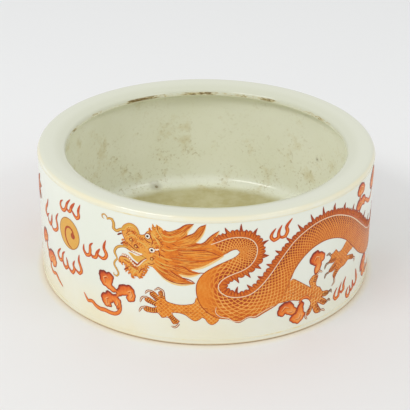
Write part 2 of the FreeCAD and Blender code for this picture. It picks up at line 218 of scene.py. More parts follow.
def outer_glaze(tree, x, z, radius, cloudy):
    """Pale glaze, warmer low on the wall and greyer on the top and lip, with a haze of rubbed gold."""
    colour = blend_colour(tree, ramp_up(tree, cloudy, 0.35, 0.7), *WALL_TONES)
    warm = product(
        tree, ramp_up(tree, z, *LOW_WALL_HEIGHTS), ramp_up(tree, cloudy, 0.3, 0.65, 0.35, 0.9),
        ramp_up(tree, x, 0.05, -0.04, 0.35, 1.0))
    colour = blend_colour(tree, warm, colour, WARM_LOW_WALL)
    top = math_node(
        tree, "MAXIMUM", ramp_up(tree, z, *TOP_HEIGHTS), ramp_up(tree, radius, *TOP_RADII))
    colour = blend_colour(tree, top, colour, TOP_TONE)
    colour = blend_colour(tree, ramp_up(tree, radius, *LIP_RADII), colour, LIP_TONE)
    haze = product(
        tree, ramp_up(tree, z, *HAZE_FROM_HEIGHTS), ramp_up(tree, z, *HAZE_TO_HEIGHTS),
        ramp_up(tree, radius, *HAZE_RADII), ramp_up(tree, cloudy, 0.36, 0.62, 0.05, 0.50))
    return blend_colour(tree, haze, colour, GOLD_HAZE)


def pits_and_stains(tree, place, blotchy, grainy):
    """Rare open pits, and the stains, each a dark core in a fainter spread."""
    cells = put(tree, "ShaderNodeTexVoronoi", in_0=place)
    cells.inputs["Scale"].default_value = PITS_PER_METRE
    lot = put(tree, "ShaderNodeSeparateColor", in_0=cells.outputs["Color"]).outputs[0]
    pitted = product(
        tree, ramp_up(tree, lot, 0.965, 0.98), ramp_up(tree, cells.outputs["Distance"], 0.10, 0.05))
    for spot, size in STAINS:
        distance = put(tree, "ShaderNodeVectorMath", operation="DISTANCE", in_0=place, in_1=spot)
        gap = distance.outputs["Value"]
        core = total(tree, gap, product(tree, grainy, size))
        spread = total(tree, gap, product(tree, blotchy, size * 3))
        pitted = math_node(tree, "MAXIMUM", pitted, ramp_up(tree, core, size * 1.4, size * 0.7, 0.0, 0.8))
        pitted = math_node(
            tree, "MAXIMUM", pitted, ramp_up(tree, spread, size * 3.6, size * 1.6, 0.0, 0.42))
    return pitted


def inner_glaze(tree, place, z, radius, cloudy, blotchy, pitted):
    """Green-white glaze with yellowed blotches, an ochre floor and fine specks low down."""
    colour = blend_colour(tree, ramp_up(tree, cloudy, 0.3, 0.72), *INNER_TONES)
    floor = product(tree, ramp_up(tree, z, *FLOOR_HEIGHTS), ramp_up(tree, radius, *FLOOR_RADII))
    floor_tone = blend_colour(tree, ramp_up(tree, blotchy, 0.35, 0.7), *FLOOR_TONES)
    colour = blend_colour(tree, floor, colour, floor_tone)
    colour = blend_colour(tree, ramp_up(tree, blotchy, 0.54, 0.74, 0.0, 0.5), colour, INNER_STAIN)
    specks = product(
        tree, ramp_up(tree, noise(tree, place, 520.0, 3.0, 0.6), 0.52, 0.72),
        ramp_up(tree, blotchy, 0.42, 0.60, 0.12, 0.55), ramp_up(tree, z, *SPECK_HEIGHTS, 0.35, 1.0))
    colour = blend_colour(tree, specks, colour, SPECK_TONE)
    return blend_colour(tree, pitted, colour, PIT_TONE)


def lip_wear(tree, x, y, z, radius, blotchy):
    """How stained and how chipped the turn of the lip is, in stretches round it."""
    edge = product(
        tree, ramp_up(tree, z, *WORN_FROM_HEIGHTS), ramp_up(tree, z, *WORN_TO_HEIGHTS),
        ramp_up(tree, radius, *WORN_RADII))
    turn = math_node(tree, "ARCTAN2", x, y)
    share_of_turn = total(tree, math_node(tree, "DIVIDE", turn, 2 * math.pi), 0.5)
    stretches = put(tree, "ShaderNodeValToRGB", in_0=share_of_turn)
    worn = stretches.color_ramp
    for angle, wear in LIP_WEAR:
        worn.elements.new(0.5 + angle / 360).color = (wear, wear, wear, 1.0)
    worn.elements[0].color = worn.elements[-1].color = UNWORN
    round_the_lip = put(
        tree, "ShaderNodeCombineXYZ", in_0=product(tree, turn, MOUTH_RADIUS), in_1=product(tree, z, 4.0))
    streaky = noise(tree, round_the_lip.outputs[0], 380.0, 3.0, 0.6)
    ragged = total(
        tree, product(tree, blotchy, 0.35), product(tree, streaky, 0.65),
        product(tree, stretches.outputs[0], 0.22))
    stained = product(tree, ramp_up(tree, ragged, 0.56, 0.70), edge)
    chipped = product(tree, ramp_up(tree, ragged, 0.67, 0.74), edge)
    return stained, chipped


def porcelain_glaze():
    """Pale glaze outside and on the rim, greener and stained inside, bare biscuit under the foot."""
    material, tree, shader = new_material("porcelain_glaze")
    place = put(tree, "ShaderNodeTexCoord").outputs["Object"]
    x, y, z = put(tree, "ShaderNodeSeparateXYZ", in_0=place).outputs
    radius = math_node(tree, "SQRT", total(tree, product(tree, x, x), product(tree, y, y)))
    cloudy = noise(tree, place, 22.0, 4.0)
    blotchy = noise(tree, place, 60.0, 5.0, 0.65)
    grainy = noise(tree, place, 420.0, 2.0)

    inside = product(
        tree, ramp_up(tree, z, *INSIDE_HEIGHTS), ramp_up(tree, radius, *INSIDE_RADII),
        math_node(tree, "GREATER_THAN", z, ABOVE_RECESS))
    pitted = pits_and_stains(tree, place, blotchy, grainy)
    stained, chipped = lip_wear(tree, x, y, z, radius, blotchy)
    foot = product(tree, ramp_up(tree, z, *FOOT_HEIGHTS), ramp_up(tree, radius, *FOOT_RADII))

    outer = outer_glaze(tree, x, z, radius, cloudy)
    inner = inner_glaze(tree, place, z, radius, cloudy, blotchy, pitted)
    colour = blend_colour(tree, inside, outer, inner)
    colour = blend_colour(tree, stained, colour, STAINED_LIP)
    colour = blend_colour(tree, chipped, colour, CHIPPED_LIP)
    colour = blend_colour(tree, foot, colour, blend_colour(tree, grainy, *BISCUIT_TONES))
    tree.links.new(colour, shader.inputs["Base Color"])

    rough = total(tree, product(tree, cloudy, 0.06), 0.13)
    rough = math_node(tree, "SUBTRACT", rough, product(tree, inside, 0.05))
    rough = total(tree, rough, product(tree, chipped, 0.4))
    rough = math_node(tree, "ADD", rough, product(tree, foot, 0.55), clamp=True)
    tree.links.new(rough, shader.inputs["Roughness"])
    relief = math_node(tree, "SUBTRACT", cloudy, product(tree, pitted, 1.5))
    relief = math_node(tree, "SUBTRACT", relief, chipped)
    bump = put(tree, "ShaderNodeBump")
    bump.inputs["Strength"].default_value = 0.18
    bump.inputs["Distance"].default_value = 0.4 * MM
    tree.links.new(relief, bump.inputs["Height"])
    tree.links.new(bump.outputs[0], shader.inputs["Normal"])
    shader.inputs["IOR"].default_value = 1.5
    return material


# Enamels and gilding

# The net's mesh, and the plain band beside the back line, in millimetres
SCALE_PITCH = 2.5
BAND_WIDTH = 3.2


def brushed_mottle():
    """The uneven tone of a brushed wash, around nought, and the fine grain in it by itself."""
    group, given, result = node_group("brushed_mottle", ["Strength"], ["Tone", "Grain"])
    place = put(group, "ShaderNodeTexCoord").outputs["Object"]
    fine = noise(group, place, 900.0, 3.0, 0.6)
    broad = noise(group, place, 150.0, 3.0)
    parts = [
        product(group, math_node(group, "SUBTRACT", grain, 0.5), share)
        for grain, share in ((fine, 2.0), (broad, 1.4))
    ]
    group.links.new(product(group, total(group, *parts), given["Strength"]), result["Tone"])
    group.links.new(fine, result["Grain"])
    return group


def scale_net():
    """A net of pale lines that follows the body. Its meshes are filled dark beside the back and
    less and less toward the belly, and the band between the back line and the fins stays plain."""
    group, given, result = node_group(
        "scale_net", ["Along", "Across", "Scaly", "Grain", "Pale lines", "Dark meshes"], ["Tone"])
    along = given["Along"]
    across = given["Across"]
    shaken = product(group, math_node(group, "SUBTRACT", given["Grain"], 0.5), 0.9)
    rising = total(group, along, across, shaken)
    falling = total(group, math_node(group, "SUBTRACT", along, across), shaken)
    lines = [
        math_node(group, "PINGPONG", math_node(group, "DIVIDE", way, SCALE_PITCH), 0.5)
        for way in (rising, falling)
    ]
    nearest_line = math_node(group, "MINIMUM", *lines)
    pale = product(group, ramp_up(group, nearest_line, 0.15, 0.04), given["Pale lines"])
    filling = ramp_up(group, across, 3.0, 15.0, 0.06, 0.46)
    filled = ramp_up(group, math_node(group, "SUBTRACT", nearest_line, filling), 0.0, 0.12)
    drawn = math_node(group, "SUBTRACT", product(group, filled, given["Dark meshes"]), pale)
    beside_band = ramp_up(group, across, BAND_WIDTH - 0.4, BAND_WIDTH)
    group.links.new(product(group, drawn, given["Scaly"], beside_band), result["Tone"])
    return group


MOTTLE = brushed_mottle()
NET = scale_net()


def enamel(name, stops, rough, mottle, pooled_edge=0.0, net=0.0, marks=0.0):
    """An enamel whose attribute "shade" runs along a row of colours, mottled like a brushed wash.
    pooled_edge darkens its rim, and net and marks are the strengths of the scales' two tones."""
    material, tree, shader = new_material(name)
    wash = put(tree, "ShaderNodeGroup", node_tree=MOTTLE, in_0=mottle)
    tone = total(tree, attribute(tree, "shade"), wash.outputs["Tone"])
    if pooled_edge:
        tone = total(tree, tone, ramp_up(tree, attribute(tree, "edge"), 1.6, 0.0, 0.0, pooled_edge))
    if net:
        scales = put(
            tree, "ShaderNodeGroup", node_tree=NET, in_0=attribute(tree, "along"),
            in_1=attribute(tree, "across"), in_2=attribute(tree, "scaly"), in_3=wash.outputs["Grain"],
            in_4=net, in_5=marks)
        tone = total(tree, tone, scales.outputs["Tone"])
    tone = math_node(tree, "ADD", tone, 0.0, clamp=True)
    ramp = put(tree, "ShaderNodeValToRGB", in_0=tone)
    row = ramp.color_ramp
    while len(row.elements) < len(stops):
        row.elements.new(1.0)
    for element, (position, colour) in zip(row.elements, stops):
        element.position = position
        element.color = colour
    tree.links.new(ramp.outputs[0], shader.inputs["Base Color"])
    shader.inputs["Roughness"].default_value = rough
    shader.inputs["Specular IOR Level"].default_value = 0.35
    bump = put(tree, "ShaderNodeBump")
    bump.inputs["Strength"].default_value = 0.2
    bump.inputs["Distance"].default_value = 0.05 * MM
    tree.links.new(wash.outputs["Grain"], bump.inputs["Height"])
    tree.links.new(bump.outputs[0], shader.inputs["Normal"])
    return material


IRON_RED = [
    (0.0, srgb(246, 216, 150)), (0.2, srgb(238, 170, 72)), (0.42, srgb(230, 130, 28)),
    (0.60, srgb(206, 96, 14)), (0.80, srgb(164, 56, 12)), (1.0, srgb(98, 28, 14)),
]
CORAL = [
    (0.0, srgb(250, 200, 140)), (0.3, srgb(242, 144, 54)), (0.5, srgb(228, 106, 26)),
    (0.75, srgb(184, 60, 16)), (1.0, srgb(112, 34, 18)),
]
OCHRE = [(0.0, srgb(244, 208, 120)), (0.5, srgb(226, 168, 66)), (1.0, srgb(166, 92, 28))]
CREAM = [(0.0, srgb(250, 240, 222)), (1.0, srgb(244, 214, 176))]
BLACK = [(0.0, srgb(58, 30, 22)), (1.0, srgb(24, 14, 14))]

ENAMELS = {
    "scales": enamel("iron_red_scales", IRON_RED, rough=0.36, mottle=0.13, net=0.37, marks=0.20),
    "limb": enamel("iron_red_limb", IRON_RED, rough=0.36, mottle=0.12, net=0.24, marks=0.18),
    "wash": enamel("iron_red_wash", IRON_RED, rough=0.36, mottle=0.17),
    "cloud": enamel("coral_cloud", CORAL, rough=0.36, mottle=0.16, pooled_edge=0.34),
    "line": enamel("iron_red_line", IRON_RED, rough=0.38, mottle=0.08),
    "coral": enamel("coral_line", CORAL, rough=0.36, mottle=0.10),
    "ochre": enamel("ochre_gold", OCHRE, rough=0.34, mottle=0.12),
    "cream": enamel("cream_reserve", CREAM, rough=0.25, mottle=0.10),
    "black": enamel("black_spot", BLACK, rough=0.22, mottle=0.05),
}
ENAMEL_NAMES = list(ENAMELS)


def worn_gilding():
    """Gold rubbed down to a pale yellow haze, with brighter stretches where it has lasted."""
    material, tree, shader = new_material("worn_gilding")
    place = put(tree, "ShaderNodeTexCoord").outputs["Object"]
    lasting = ramp_up(tree, noise(tree, place, 30.0, 4.0, 0.6), 0.42, 0.68)
    rubbed = ramp_up(tree, noise(tree, place, 300.0, 2.0), 0.35, 0.65)
    kept = product(tree, lasting, rubbed)
    colour = blend_colour(tree, kept, srgb(238, 234, 210), srgb(238, 224, 176))
    tree.links.new(colour, shader.inputs["Base Color"])
    tree.links.new(product(tree, kept, 0.25), shader.inputs["Metallic"])
    shader.inputs["Roughness"].default_value = 0.36
    return material


# Modelling the vessel

CLOSE = 0.02 * MM

# The turns of the vessel: radius, height, rounding in millimetres and steps
TURNS = [
    (WALL_RADIUS, 0.0, 1.2, 4), (WALL_RADIUS, HEIGHT, 3.4, 8), (LIP_CREST_RADIUS, HEIGHT, 4.6, 8),
    (MOUTH_RADIUS, LIP_SLOPE_END, 1.8, 6), (MOUTH_RADIUS, LIP_UNDERSIDE, 1.3, 5),
    (INNER_RADIUS, LIP_UNDERSIDE, 4.0, 6), (INNER_RADIUS, FLOOR_HEIGHT, 7.0, 12),
    (FOOT_INSIDE, BASE_HEIGHT, 1.2, 4), (FOOT_INSIDE, 0.0, 0.5, 3),
]


def deselect_everything():
    bpy.ops.object.select_all(action="DESELECT")


def ring_at(mesh, radius, height):
    """Selects the ring of edges at that radius and height, and nothing else."""
    for edge in mesh.edges:
        edge.select = all(
            abs(math.hypot(vertex.co.x, vertex.co.y) - radius) < CLOSE
            and abs(vertex.co.z - height) < CLOSE
            for vertex in edge.verts
        )
    mesh.select_flush_mode()


def face_at(mesh, height, upward):
    """Selects the level face at that height that looks up or down."""
    for face in mesh.faces:
        level = abs(face.calc_center_median().z - height) < CLOSE and abs(face.normal.z) > 0.9
        face.select = level and (face.normal.z > 0) == upward and len(face.verts) == RING_SEGMENTS
    mesh.select_flush_mode()


def push(offset, share=1.0):
    """Extrudes the selected face upwards by an offset, and widens or narrows it by a share."""
    bpy.ops.mesh.extrude_region_move(TRANSFORM_OT_translate={"value": (0, 0, offset)})
    if share != 1.0:
        bpy.ops.transform.resize(value=(share, share, 1.0), center_override=(0, 0, 0))


def vessel():
    """A cylinder hollowed through its mouth, undercut behind the lip and rounded at every turn."""
    deselect_everything()
    bpy.ops.mesh.primitive_cylinder_add(
        vertices=RING_SEGMENTS, radius=WALL_RADIUS, depth=HEIGHT, location=(0, 0, HEIGHT / 2))
    body = bpy.context.object
    body.name = "washer_vessel"
    bpy.ops.object.transform_apply(location=True, rotation=False, scale=False)
    bpy.ops.object.mode_set(mode="EDIT")
    bpy.ops.mesh.select_mode(type="FACE")
    mesh = bmesh.from_edit_mesh(body.data)

    face_at(mesh, HEIGHT, True)
    push(0.0, LIP_CREST_RADIUS / WALL_RADIUS)
    push(LIP_SLOPE_END - HEIGHT, MOUTH_RADIUS / LIP_CREST_RADIUS)
    push(LIP_UNDERSIDE - LIP_SLOPE_END)
    push(0.0, INNER_RADIUS / MOUTH_RADIUS)
    push(FLOOR_HEIGHT - LIP_UNDERSIDE)
    face_at(mesh, 0.0, False)
    push(0.0, FOOT_INSIDE / WALL_RADIUS)
    push(BASE_HEIGHT)

    bpy.ops.mesh.select_mode(type="EDGE")
    for radius, height, rounding, steps in TURNS:
        mesh = bmesh.from_edit_mesh(body.data)
        ring_at(mesh, radius, height)
        bpy.ops.mesh.bevel(offset=rounding * MM, segments=steps, profile=0.5, affect="EDGES")
    bpy.ops.object.mode_set(mode="OBJECT")
    bpy.ops.object.shade_smooth_by_angle(angle=math.radians(35))
    body.data.materials.append(porcelain_glaze())
    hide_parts("porcelain_body")
    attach(body, "root")


# Drawing on the wall

def flowing(points, step, closed=False):
    """Evenly stepped points on a smooth line through the given ones, which keeps sharp corners."""
    places = [Vector(point) for point in points]
    count = len(places)
    last = count if closed else count - 1

    def heading(index, toward):
        before, here, after = places[index - 1], places[index % count], places[(index + 1) % count]
        at_end = not closed and index % count in (0, count - 1)
        if at_end or (here - before).angle(after - here, math.pi) > math.radians(SHARP_TURN):
            return toward
        return (after - before).normalized()

    line = []
    for index in range(last):
        start, end = places[index], places[(index + 1) % count]
        span = (end - start).length
        chord = (end - start).normalized()
        leave = heading(index, chord) * span
        arrive = heading((index + 1) % count, chord) * span
        pieces = max(1, round(span / step))
        for piece in range(pieces):
            t = piece / pieces
            line.append(
                start * (2 * t**3 - 3 * t**2 + 1) + leave * (t**3 - 2 * t**2 + t)
                + end * (3 * t**2 - 2 * t**3) + arrive * (t**3 - t**2)
            )
    if not closed:
        line.append(places[-1])
    return line


def gap_to_line(points, line, closed=False):
    """Distance of each point to a line, and how far along the line its nearest place is."""
    points = np.array(points, float)
    line = np.array(line, float)
    starts = line if closed else line[:-1]
    ends = np.roll(line, -1, axis=0) if closed else line[1:]
    ways = ends - starts
    spans = np.maximum(np.hypot(ways[:, 0], ways[:, 1]), 1e-9)
    before = np.concatenate(([0.0], np.cumsum(spans)[:-1]))
    gaps, places = [], []
    for chunk in np.array_split(points, max(1, len(points) // 400)):
        offset = chunk[:, None, :] - starts[None]
        share = np.clip((offset * ways).sum(2) / spans**2, 0, 1)
        miss = offset - share[..., None] * ways
        distance = np.hypot(miss[..., 0], miss[..., 1])
        best = distance.argmin(1)
        rows = np.arange(len(chunk))
        gaps.append(distance[rows, best])
        places.append(before[best] + share[rows, best] * spans[best])
    return np.concatenate(gaps), np.concatenate(places)


def inside_outline(points, outline):
    """Which points lie inside a closed outline."""
    points = np.array(points, float)
    outline = np.array(outline, float)
    following = np.roll(outline, -1, axis=0)
    inside = np.zeros(len(points), bool)
    for (x1, y1), (x2, y2) in zip(outline, following):
        if y1 == y2:
            continue
        crosses = (y1 > points[:, 1]) != (y2 > points[:, 1])
        inside ^= crosses & (points[:, 0] < (x2 - x1) * (points[:, 1] - y1) / (y2 - y1) + x1)
    return inside


class Painting:
    """The enamel of one motif: washes filled in an outline, and brush strokes over them."""

    def __init__(self):
        self.spots = []
        self.faces = []
        self.paints = []
        self.values = {"edge": [], "shade": [], "along": [], "across": [], "scaly": []}

    def spot(self, point, lift, edge=0.0, shade=0.5, along=0.0, across=0.0, scaly=1.0):
        angle = point[0] * MM / WALL_RADIUS
        radius = WALL_RADIUS + lift * MM
        self.spots.append((radius * math.sin(angle), -radius * math.cos(angle), point[1] * MM))
        for name, value in zip(self.values, (edge, shade, along, across, scaly)):
            self.values[name].append(value)
        return len(self.spots) - 1

    def face(self, corners, paint):
        self.faces.append(corners)
        self.paints.append(ENAMEL_NAMES.index(paint))

    def wash(self, outline, paint="wash", shade=0.5, pitch=1.3, guide=None, beyond=None, smooth=True,
             lift=WASH_LIFT, scaly=None):
        """A thin film inside an outline. shade is a number or a function of the drawing place and
        its distance from the guide line, which counts as none outside the outline called beyond."""
        rim = flowing(outline, pitch * 0.8, closed=True) if smooth else [Vector(p) for p in outline]
        area = sum(a.x * b.y - b.x * a.y for a, b in zip(rim, rim[1:] + rim[:1]))
        if area < 0:
            rim = rim[::-1]
        low = Vector((min(p.x for p in rim), min(p.y for p in rim)))
        high = Vector((max(p.x for p in rim), max(p.y for p in rim)))
        grid = []
        row_gap = pitch * 0.866
        for row in range(int((high.y - low.y) / row_gap) + 1):
            for column in range(int((high.x - low.x) / pitch) + 2):
                shift = pitch / 2 if row % 2 else 0.0
                grid.append((low.x + column * pitch - shift, low.y + row * row_gap))
        if grid:
            gaps, _ = gap_to_line(grid, rim, closed=True)
            keep = inside_outline(grid, rim) & (gaps > pitch * 0.45)
            grid = [Vector(point) for point, kept in zip(grid, keep) if kept]
        points, _, triangles, _, _, _ = delaunay_2d_cdt(rim + grid, [], [list(range(len(rim)))], 1, 1e-5)
        edges, _ = gap_to_line(points, rim, closed=True)
        across, along = gap_to_line(points, guide) if guide is not None else (edges * 0, edges * 0)
        if beyond is not None:
            across = np.where(inside_outline(points, beyond), across, 0.0)
        tops, bottoms = [], []
        for point, edge, over, down in zip(points, edges, across, along):
            tone = shade(point.x, point.y, over) if callable(shade) else shade
            scales = scaly(point.x, point.y) if scaly else 1.0
            tops.append(self.spot(point, lift, edge, tone, down, over, scales))
            bottoms.append(self.spot(point, FILM_FOOT, edge, tone, down, over, scales))
        sides = {}
        for triangle in triangles:
            a, b, c = triangle
            pa, pb, pc = points[a], points[b], points[c]
            if (pb.x - pa.x) * (pc.y - pa.y) - (pc.x - pa.x) * (pb.y - pa.y) < 0:
                a, c = c, a
            self.face((tops[a], tops[b], tops[c]), paint)
            self.face((bottoms[c], bottoms[b], bottoms[a]), paint)
            for start, end in ((a, b), (b, c), (c, a)):
                if (end, start) in sides:
                    del sides[(end, start)]
                else:
                    sides[(start, end)] = True
        for start, end in sides:
            self.face((tops[start], bottoms[start], bottoms[end], tops[end]), paint)
        return rim

    def stroke(self, points, width, paint="line", shade=0.75, ends=(0.25, 0.15), step=0.8, rise=0.0,
               closed=False):
        """One brush stroke: widest in its middle, drawn out to a share of its width at its ends."""
        line = flowing(points, step, closed)
        count = len(line)
        rows = []
        for index, point in enumerate(line):
            before = line[index - 1] if index or closed else point
            after = line[(index + 1) % count] if index < count - 1 or closed else point
            way = (after - before).normalized()
            share = index / max(1, count - 1)
            swell = 1.0 if closed else math.sin(math.pi * share) ** 0.6
            tip = ends[0] + (ends[1] - ends[0]) * share
            half = width / 2 * (swell + (1 - swell) * tip)
            aside = Vector((-way.y, way.x)) * half
            rows.append((
                self.spot(point + aside, LINE_LIFT + rise, 0.0, shade),
                self.spot(point, LINE_CREST + rise, half, shade),
                self.spot(point - aside, LINE_LIFT + rise, 0.0, shade),
            ))
        pairs = zip(rows, rows[1:] + rows[:1]) if closed else zip(rows, rows[1:])
        for (left, crest, right), (next_left, next_crest, next_right) in pairs:
            self.face((left, crest, next_crest, next_left), paint)
            self.face((crest, right, next_right, next_crest), paint)
            self.face((right, left, next_left, next_right), paint)
        if not closed:
            self.face((rows[0][0], rows[0][2], rows[0][1]), paint)
            self.face(rows[-1], paint)

    def dot(self, x, z, radius, paint="black", shade=0.5, rise=0.0, flat=1.0):
        """A round touch of the brush."""
        ring = []
        for step in range(DOT_SIDES):
            angle = 2 * math.pi * step / DOT_SIDES
            place = (x + radius * math.cos(angle), z + radius * flat * math.sin(angle))
            ring.append(self.spot(place, LINE_LIFT + rise, 0.0, shade))
        top = self.spot((x, z), LINE_CREST + rise, radius, shade)
        for start, end in zip(ring, ring[1:] + ring[:1]):
            self.face((start, end, top), paint)
        self.face(tuple(ring[::-1]), paint)

    def finish(self, node):
        """Makes the motif's mesh once for each dragon, turned round the wall."""
        for number in range(DRAGONS):
            mesh = bpy.data.meshes.new(f"{node}_{number + 1}_enamel")
            mesh.from_pydata(self.spots, [], self.faces)
            for name, values in self.values.items():
                mesh.attributes.new(name, "FLOAT", "POINT").data.foreach_set("value", values)
            for material in ENAMELS.values():
                mesh.materials.append(material)
            mesh.polygons.foreach_set("material_index", self.paints)
            mesh.transform(Matrix.Rotation(2 * math.pi * number / DRAGONS, 4, "Z"))
            mesh.update()
            piece = bpy.data.objects.new(f"painted_{node}_{number + 1}", mesh)
            bpy.context.scene.collection.objects.link(piece)
            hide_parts(f"{node}_{number + 1}")
            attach(piece, "root")


# Pearl and flames

PEARL_DISC = [
    (-86.8 + 9.3 * math.cos(step * math.pi / 16), 50.5 + 9.5 * math.sin(step * math.pi / 16))
    for step in range(32)
]
PEARL_SWIRL = [
    (-84.0, 41.6), (-87.6, 43.2), (-90.0, 46.4), (-90.6, 50.2), (-89.0, 53.6), (-86.0, 54.6), (-83.4, 53.2),
    (-82.9, 50.6),
]


def paint_pearl():
    painting = Painting()
    painting.wash(PEARL_DISC, "ochre", 0.45)
    painting.stroke(PEARL_DISC, 0.5, "ochre", 0.9, closed=True)
    painting.stroke(PEARL_SWIRL, 1.3, "line", 0.72, ends=(0.2, 1.3))
    painting.dot(-83.2, 50.2, 1.9, "line", 0.76)
    painting.finish("pearl")


PEARL_FLAMES = [
    [(-91.8, 69.5), (-94.2, 67.5), (-94.6, 65.0), (-92.5, 63.2), (-90.2, 64.0), (-88.8, 66.0),
     (-87.6, 69.0), (-84.2, 72.8)],
    [(-88.8, 66.6), (-86.8, 64.8), (-84.8, 65.3), (-83.6, 68.0), (-80.2, 72.2)],
    [(-83.6, 67.2), (-81.4, 64.5), (-79.2, 63.0), (-77.2, 64.6), (-77.4, 68.0), (-75.6, 72.8)],
    [(-96.6, 36.6), (-99.5, 33.5), (-100.4, 31.0), (-98.5, 28.8), (-96.0, 29.3), (-95.0, 31.8),
     (-94.5, 34.0), (-92.0, 36.6)],
    [(-95.2, 31.4), (-94.0, 27.6), (-91.8, 26.0), (-89.6, 28.0), (-90.0, 31.0), (-90.8, 33.6)],
    [(-89.5, 29.4), (-87.0, 26.6), (-84.6, 26.0), (-83.0, 29.0), (-83.8, 31.8), (-82.3, 35.0)],
    [(-83.2, 30.6), (-80.5, 28.8), (-78.3, 28.2), (-76.5, 30.5), (-77.6, 34.0), (-78.6, 36.5),
     (-78.0, 40.6)],
    [(-112.2, 61.4), (-113.6, 57.5), (-116.5, 54.0), (-117.5, 51.0), (-115.0, 49.3), (-111.2, 52.6)],
    [(-113.4, 49.6), (-112.3, 46.8), (-109.5, 46.2), (-107.8, 49.0), (-106.6, 54.0)],
    [(-108.4, 47.4), (-106.2, 45.0), (-102.6, 45.6), (-99.8, 48.0), (-99.8, 50.6), (-100.8, 54.0),
     (-98.0, 58.6)],
    [(-73.6, 49.2), (-73.9, 45.6), (-71.8, 42.9), (-69.4, 44.0), (-68.8, 46.6), (-68.6, 50.2),
     (-66.4, 52.4)],
    [(-69.0, 45.6), (-67.0, 43.4), (-64.6, 44.2), (-63.6, 47.0), (-61.4, 50.6)],
    [(-64.2, 47.6), (-61.8, 45.4), (-58.8, 45.2), (-57.0, 48.0), (-58.6, 52.0), (-57.2, 57.2)],
]
LOOSE_FLAMES = [
    [(38.6, 70.4), (36.5, 67.6), (36.0, 65.2), (37.8, 63.2), (40.4, 64.4), (40.4, 68.0), (42.2, 71.8)],
    [(40.4, 66.4), (42.0, 64.2), (44.4, 64.4), (45.6, 67.2), (45.0, 70.2), (48.4, 74.6)],
    [(86.0, 18.0), (84.0, 15.5), (83.4, 12.5), (85.0, 10.6), (87.8, 11.5), (88.0, 14.8), (90.2, 19.8)],
    [(88.4, 14.4), (90.6, 12.6), (93.0, 13.8), (92.4, 17.2), (94.6, 21.4)],
    [(98.6, 12.6), (96.4, 10.0), (97.0, 7.0), (99.2, 6.0), (101.0, 8.5), (99.8, 13.0)],
    [(100.8, 9.6), (102.8, 8.2), (104.6, 9.5), (103.4, 15.0)],
    [(103.8, 11.2), (107.2, 9.6), (109.4, 12.0), (108.2, 17.0), (107.2, 20.6)],
]


def paint_flames(node, flames):
    """Each lick is a hooked stroke with a paler heart."""
    painting = Painting()
    for lick in flames:
        painting.stroke(lick, 2.3, "coral", 0.66, ends=(0.1, 0.03), step=0.6)
        painting.stroke(lick[1:-1], 1.0, "coral", 0.34, ends=(0.1, 0.05), rise=0.04)
    painting.finish(node)


# Clouds

